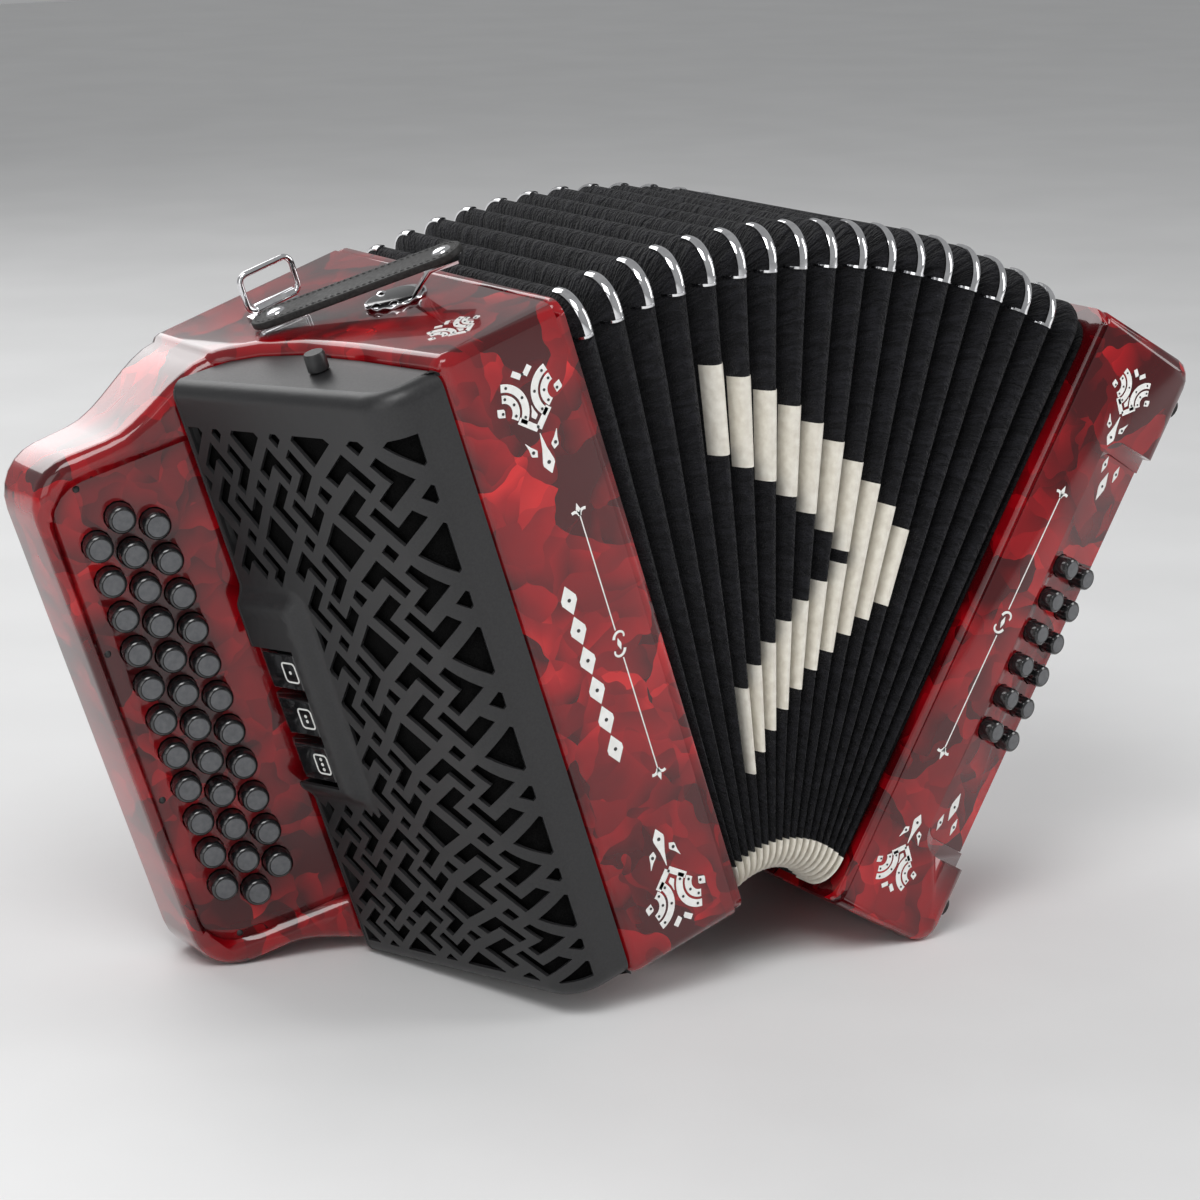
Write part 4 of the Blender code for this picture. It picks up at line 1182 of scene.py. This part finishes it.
screw_seats = [(x, 0, z) for x in (-0.0128, 0.0655) for z in (-0.118, -0.04, 0.04, 0.118)
               if not (x < 0 and abs(z) > 0.1)]
screw_seats += [(0.0, 0, 0.1215), (0.0, 0, -0.1215)]
board_screws = merged(*(shifted(along_y(screw_head(0.0017, 0.0007)), seat)
                        for seat in screw_seats))
piece("board_screws", board_screws, satin_black, "treble", BOARD)
print("board screws:", len(screw_seats))


# %% [markdown]
# ## Inlays
# White celluloid is let into the red on both front strips.  Each motif is a set of flat bands: an
# arch is a band along an arc, a diamond is a short band whose width swells and closes, and a scroll
# line is a long thin one with curls.  Small black dots sit on the white.

# %% Bands, diamonds and dots
INLAY_HIGH, INLAY_CHAMFER = 0.0002, 0.00005


def inlaid(path, width, chamfer=INLAY_CHAMFER):
    """A band of the inlay's own height along a path."""
    return band(path, width, 0.0, INLAY_HIGH, chamfer)


def arc_band(centre, radius, start, stop, width, steps=14):
    """A band along an arc, its ends given as angles in degrees."""
    turn = np.radians(np.linspace(start, stop, steps))
    return inlaid(np.array(centre) + radius * np.stack([np.cos(turn), np.sin(turn)], -1), width)


def swelling(centre, length, width, lean, shares, widths):
    """A band along a short straight line whose width follows a table of shares and widths."""
    direction = np.array([math.sin(lean), math.cos(lean)])
    path = np.array(centre) + np.outer((np.array(shares) - 0.5) * length, direction)
    return inlaid(path, np.array(widths) * width)


def diamond(centre, length, width, lean=0.0):
    """A band whose width swells to the middle and closes again."""
    return swelling(centre, length, width, lean, (0.0, 0.42, 0.58, 1.0), (0.0002, 1.0, 1.0, 0.0002))


def kite(centre, length, width, lean=0.0):
    """A long diamond whose widest place lies near its lower end."""
    return swelling(centre, length, width, lean, (0.0, 0.22, 0.30, 0.62, 1.0),
                    (0.05, 1.0, 1.0, 0.42, 0.05))


def line_band(a, b, width=0.0006):
    """A straight band from a to b."""
    return inlaid(np.linspace(a, b, 3), width, 0.00004)


def dot(centre, radius=0.00075):
    """A low black disc that stands on the white inlay."""
    profile = ((0, 0.00024), (radius, 0.00024), (radius, 0.00036), (0, 0.00038))
    return shifted(turned(profile, 14), (*centre, 0))


print("a diamond has", len(diamond((0, 0), 0.01, 0.005)[0]), "points")


# %% Rosette
def fan_rosette(size=1.0, turned_over=False, tail=True):
    """Two pairs of nested arches, mirrored, over a square on its corner, with kites below.

    The origin is the square's lowest corner.  The arches of one side turn about a point on the line
    that runs out from that corner at 45 degrees.
    """
    white, black = [], []
    for side in (-1, 1):
        centre = (side * 0.0158, 0.0158)
        start, stop = (-45, 78) if side < 0 else (225, 102)
        for radius in (0.0072, 0.0126):
            white.append(arc_band(centre, radius, start, stop, 0.0040, 18))
            for share in (0.12, 0.5, 0.9):
                turn = math.radians(start + (stop - start) * share)
                black.append(dot((centre[0] + radius * math.cos(turn),
                                  centre[1] + radius * math.sin(turn))))
        white.append(diamond((side * 0.0168, 0.0165), 0.0062, 0.0046, side * 0.5))
        white.append(line_band((side * 0.0088, 0.0092), (side * 0.0003, 0.0012), 0.0034))
        white.append(line_band((side * 0.0012, 0.0290), (side * 0.0052, 0.0325), 0.0030))
        black.append(dot((side * 0.0160, 0.0160)))
        if tail:
            white.append(kite((side * 0.0072, -0.0075), 0.0100, 0.0040, side * 0.45))
            black.append(dot((side * 0.0066, -0.0090), 0.0009))
    white.append(kite((0, 0.0098), 0.0075, 0.0034))
    black += [dot((0, 0.0020)), dot((0, 0.0300))]
    if tail:
        white.append(kite((0, -0.0120), 0.0215, 0.0066))
        black.append(dot((0, -0.0168), 0.0010))
    flip = np.array([size, -size if turned_over else size, 1.0])
    return [[(points * flip, faces) for points, faces in shapes] for shapes in (white, black)]


print("a rosette has", *(len(shapes) for shapes in fan_rosette()), "white and black shapes")


# %% Scroll
def scroll(length):
    """A long line with a three-leaved end at top and bottom and a pair of curls in the middle.

    A curl is a spiral: its radius shrinks by a fixed share for each radian of the turn.
    """
    half = length / 2
    shapes = [line_band((0, -half), (0, -0.007)), line_band((0, 0.007), (0, half))]
    for end in (-1, 1):
        tip = end * half
        shapes += [diamond((0, tip + end * 0.0028), 0.0068, 0.0022),
                   arc_band((0.0026, tip), 0.0024, 180, 180 - end * 120, 0.0014, 8),
                   arc_band((-0.0026, tip), 0.0024, 0, end * 120, 0.0014, 8)]
    turn = np.linspace(0, 3.6, 22)
    curl = 0.0042 * np.exp(-0.33 * turn)
    for side in (-1, 1):
        path = np.stack([side * (0.0020 - curl * np.cos(turn)),
                         side * (0.0030 + curl * np.sin(turn))], -1)
        shapes.append(inlaid(path, np.linspace(0.0014, 0.0008, 22), 0.00004))
    shapes.append(diamond((0, 0), 0.0060, 0.0020))
    return shapes


print("a scroll has", len(scroll(0.13)), "shapes")

# %% [markdown]
# A motif is laid on a block's front strip by turning it to face forwards and moving it there.  It
# stands a hair proud of the red, so the two surfaces never share a plane and flicker.


# %% Laying the inlays on the fronts
INLAY_PROUD = 0.00002


def front_inlay(name, white, black, body, where, out, z, side=tx):
    """Lays a motif on a block's front face, with its own Y axis up the block."""
    for suffix, shapes, material in (("", white, inlay_white), ("_dots", black, gloss_black)):
        if shapes:
            laid = facing(merged(*shapes), "-Y")
            laid = shifted(laid, (float(side(out)), -HALF_DEPTH + INLAY_PROUD, z))
            piece(name + suffix, laid, material, body, where, sharp=30)


front_inlay("treble_rosette_top", *fan_rosette(0.92), "treble", TREBLE, 0.0245, 0.2690)
front_inlay("treble_scroll", scroll(0.132), [], "treble", TREBLE, 0.0175, 0.1575)
row = [diamond((0, (number - 2.5) * 0.0155), 0.0145, 0.0082) for number in range(6)]
row_dots = [dot((0, (number - 2.5) * 0.0155), 0.0009) for number in range(6)]
front_inlay("treble_diamond_row", row, row_dots, "treble", TREBLE, 0.0355, 0.150)
front_inlay("treble_rosette_low", *fan_rosette(0.92, True), "treble", TREBLE, 0.0280, 0.0430)
front_inlay("bass_rosette_top", *fan_rosette(0.72), "bass", BASS, 0.0310, 0.2790, side=bx)
front_inlay("bass_scroll", scroll(0.136), [], "bass", BASS, 0.0175, 0.160, side=bx)
front_inlay("bass_rosette_low", *fan_rosette(0.72, True), "bass", BASS, 0.0215, 0.0410, side=bx)
print("front inlays: four rosettes, two scrolls and a row of", len(row), "diamonds")

# %% [markdown]
# The same rosette lies on the treble block's top, and two groups of diamonds in the bass recess.

# %% Top rosette and recess diamonds
white, black = fan_rosette(0.72, tail=False)
for name, shapes, material in (("top_rosette", white, inlay_white),
                               ("top_rosette_dots", black, gloss_black)):
    piece(name, merged(*shapes), material, "treble",
          TREBLE @ spot((float(tx(0.036)), -0.088, HEIGHT + INLAY_PROUD)), sharp=30)
for name, z, up in (("recess_diamonds_top", 0.0895, 1), ("recess_diamonds_low", -0.0865, -1)):
    places = ((-0.005, 0), (-0.0105, up * 0.010), (0.0015, up * 0.009))
    sizes = ((0.0150, 0.0052), (0.0090, 0.0032), (0.0090, 0.0032))
    group = [diamond(place, *size) for place, size in zip(places, sizes)]
    spots = [dot(place) for place in places]
    for suffix, shapes, material in (("", group, inlay_white), ("_dots", spots, gloss_black)):
        laid = facing(merged(*shapes), "-Y")
        piece(name + suffix, shifted(laid, (0, 0.0003, z)), material, "bass", RECESS, sharp=30)

# %% [markdown]
# ## Strap, bracket and bail on the treble's top
# The bellows strap is a band of leather with round ends, a raised seam of stitches round its edge
# and a snap at each end.  It crosses the block's top at an angle and rises towards the bellows.

# %% Bellows strap
STRAP_HALF, STRAP_WIDE, STRAP_THICK = 0.053, 0.022, 0.0035
STITCH = 0.0032
LEVEL = TREBLE @ spot((float(tx(0.039)), 0.002, HEIGHT), "Z", math.radians(-39.0))
STRAP = LEVEL @ spot((0, 0, 0.0111), "Y", math.radians(-6.7))


def stadium(half, wide, steps=14):
    """A rectangle with half-round ends."""
    return rounded((-half, -wide / 2), (half, wide / 2), wide / 2 - 1e-5, steps)


strap = plate(stadium(STRAP_HALF, STRAP_WIDE), -STRAP_THICK / 2, STRAP_THICK / 2, 0.0009)
strap = piece("strap_leather", strap, leather, "treble", STRAP)
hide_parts("bellows_strap")
seam = stadium(STRAP_HALF - 0.0022, STRAP_WIDE - 0.0044, 40)
seam = np.vstack([seam, seam[:1]])
steps = np.concatenate([[0], np.cumsum(np.linalg.norm(np.diff(seam, axis=0), axis=1))])
stitches = []
for number in range(int(steps[-1] / STITCH)):
    at = number * STITCH + np.array([0, 0.0011, 0.0022])
    path = np.stack([np.interp(at, steps, seam[:, 0]), np.interp(at, steps, seam[:, 1]),
                     [0.0017, 0.0021, 0.0017]], -1)
    stitches.append(tube(path, 0.00028, 5, up=(0, 0.3, 1)))
piece("strap_stitches", merged(*stitches), thread, "treble", STRAP)
SNAP = ((0, 0.0033), (0.0018, 0.0032), (0.0038, 0.0027), (0.0046, 0.0020), (0.0048, 0.0016),
        (0, 0.0016))
snap_heads = [shifted(turned(SNAP, 28), (x, 0, 0)) for x in (-0.0405, 0.0435)]
piece("strap_snaps", merged(*snap_heads), chrome, "treble", STRAP)
print("strap stitches:", len(stitches))

# %% [markdown]
# The strap stands on a small cast bracket, whose foot has a black oval plate and round-headed
# screws.  Beside it a bent wire, the bail, swings on its base and takes the shoulder strap.  The
# wire is a circle carried round a rounded rectangle.

# %% Bracket, bail base and bail
polished("strap_bracket", "treble", chrome)
polished("bail_base", "treble", chrome)
turn = np.linspace(0, 2 * np.pi, 48, endpoint=False)
oval = np.stack([0.0145 + 0.0122 * np.cos(turn), 0.0119 * np.sin(turn)], -1)
piece("bracket_plate", plate(oval, 0.0017, 0.0022, 0.0003), gloss_black, "treble", LEVEL)
TOP_SCREW = ((0, 0.0032), (0.0013, 0.0030), (0.0024, 0.0022), (0.0026, 0.0016), (0, 0.0016))
top_screws = [shifted(turned(TOP_SCREW, 20), seat)
              for seat in ((0.008, -0.0085, 0), (0.008, 0.0085, 0), (0.017, -0.0105, 0))]
piece("bracket_screws", merged(*top_screws), chrome, "treble", LEVEL)
bail_line = rounded((-0.0140, 0.0), (0.0140, 0.0185), 0.0042, 8)
bail_path = np.stack([bail_line[:, 0], np.zeros(len(bail_line)), bail_line[:, 1]], -1)
bail = piece("bail_wire", tube(bail_path, 0.0015, 16, True, (0, 1, 0)), chrome, "bail",
             TREBLE @ spot((float(tx(0.059)), 0.0505, HEIGHT + 0.0047)))
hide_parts("strap_bail")
print("bail wire:", len(bail_path), "rings")

# %% [markdown]
# ## Hand strap and adjuster on the bass end
# The strap bows out over the cover, so its section is carried along the same bow as its solid.  It
# has rolled edges, which a flattened circle gives, and two rows of stitches.

# %% Hand strap
HAND_LOW, HAND_HIGH, HAND_BULGE = 0.040, 0.276, 0.036


def hand_point(share, y, lift):
    """A point at a share of the strap's length, at y across it and `lift` up in the leather.

    The bow is the square of the sine of half a turn: flat at both ends and highest in the middle.
    """
    share, y, lift = np.broadcast_arrays(share, y, lift)
    out = BASS_WIDTH + 0.0004 + HAND_BULGE * np.sin(np.pi * share) ** 2 + lift
    return np.stack([bx(out), y, HAND_LOW + (HAND_HIGH - HAND_LOW) * share], -1)


turn = np.linspace(0, 2 * np.pi, 32, endpoint=False)
section_y = 0.022 + 0.030 * np.sign(np.cos(turn)) * np.abs(np.cos(turn)) ** 0.22
section_lift = 0.0016 + 0.0016 * np.sign(np.sin(turn)) * np.abs(np.sin(turn)) ** 0.6
share = np.linspace(0.0, 1.0, 60)[:, None]
points = hand_point(share, section_y[None], section_lift[None]).reshape(-1, 3)
hand = piece("hand_strap_leather", (points, rod(60, 32)), leather, "bass", BASS, sharp=60)
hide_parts("hand_strap")
stitches = []
for y in (-0.0042, 0.0482):
    for number in range(62):
        at = 0.02 + number * 0.0155 + np.array([0, 0.005, 0.010])
        path = hand_point(at, y, np.array([0.0030, 0.0034, 0.0030]))
        stitches.append(tube(path, 0.0003, 5, up=(0, 1, 0)))
piece("hand_strap_stitches", merged(*stitches), thread, "bass", BASS)
print("hand strap stitches:", len(stitches))

# %% [markdown]
# A wheel above the strap draws it tighter.  Its rim is knurled: the radius steps up and down round
# the turn.  Round-headed screws hold the cover.

# %% Adjuster wheel and cover screws
wheel_turn = np.linspace(0, 2 * np.pi, 96, endpoint=False)
knurl = 0.0073 + 0.0002 * np.sign(np.sin(wheel_turn * 24))
rim = np.stack([knurl * np.cos(wheel_turn), knurl * np.sin(wheel_turn)], -1)
wheel = piece("adjuster_wheel_knurled", plate(rim, -0.0038, 0.0038, 0.0006), chrome,
              "adjuster_wheel", BASS @ spot((float(bx(BASS_WIDTH + 0.0095)), 0.022, 0.290)))
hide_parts("strap_adjuster_wheel")
cover_screws = [shifted(facing(screw_head(0.0022, -0.0009), "X"), (float(bx(0.0648)), y, z))
                for y in (-0.064, 0.089) for z in (0.018, 0.110, 0.210, 0.302) if z < 0.3 or y > 0]
piece("cover_screws", merged(*cover_screws), chrome, "bass", BASS)
print("cover screws:", len(cover_screws))

# %% [markdown]
# ## Light, floor and camera
# Black and deep red need something bright to reflect.  One large soft light stands over the front
# left, a long one lies on the right, and a low fill keeps the grille's fret from going dark.


# %% Lights
def soft_light(name, place, target, size, power, long=None):
    """A rectangular lamp that faces a target: its Z axis points back along the line to it."""
    lamp = bpy.data.lights.new(name, "AREA")
    lamp.energy = power
    lamp.shape = "RECTANGLE"
    lamp.size = size
    lamp.size_y = long or size
    made = shown(name, lamp)
    made.location = place
    made.rotation_euler = (Vector(target) - Vector(place)).to_track_quat("-Z", "Y").to_euler()


middle = (0.0, 0.0, 0.17)
soft_light("key_light", (-1.0, -1.0, 2.0), middle, 1.2, 26)
soft_light("side_light", (1.8, -1.3, 1.1), middle, 0.8, 18, 1.8)
soft_light("rear_light", (-0.3, 1.9, 1.7), middle, 1.6, 22)
soft_light("front_fill", (-1.9, -1.0, 0.7), middle, 1.2, 6)
world = bpy.data.worlds.new("studio")
bpy.context.scene.world = world
world.use_nodes = True
background = world.node_tree.nodes["Background"]
background.inputs["Color"].default_value = (0.93, 0.94, 0.95, 1)
background.inputs["Strength"].default_value = 0.36
print("lights:", len(bpy.data.lights))

# %% Floor and camera
floor_mesh = bpy.data.meshes.new("floor")
floor_mesh.from_pydata([(-6, -6, 0), (6, -6, 0), (6, 6, 0), (-6, 6, 0)], [], [(0, 1, 2, 3)])
floor_mesh.materials.append(simple("pale_floor", (0.80, 0.80, 0.80), (0.84, 0.84, 0.84), 6,
                                   (0.6, 0.7)))
shown("floor", floor_mesh)
bpy.context.scene.view_settings.view_transform = "Standard"

camera_data = bpy.data.cameras.new("camera")
camera_data.lens = 104.6
camera_data.sensor_width = 36.0
camera_data.shift_x = 0.0095
camera_data.shift_y = 0.0073
camera = shown("camera", camera_data)
camera.location = Vector(FAN_AXIS) + Vector((-0.9311, -1.3973, 0.5386))
aim = Vector((0.5175, 0.8200, -0.2446)).to_track_quat("-Z", "Y")
camera.rotation_mode = "QUATERNION"
camera.rotation_quaternion = aim @ Matrix.Rotation(math.radians(-0.61), 3, "Z").to_quaternion()
bpy.context.scene.camera = camera
print("camera at", [round(value, 3) for value in camera.location])
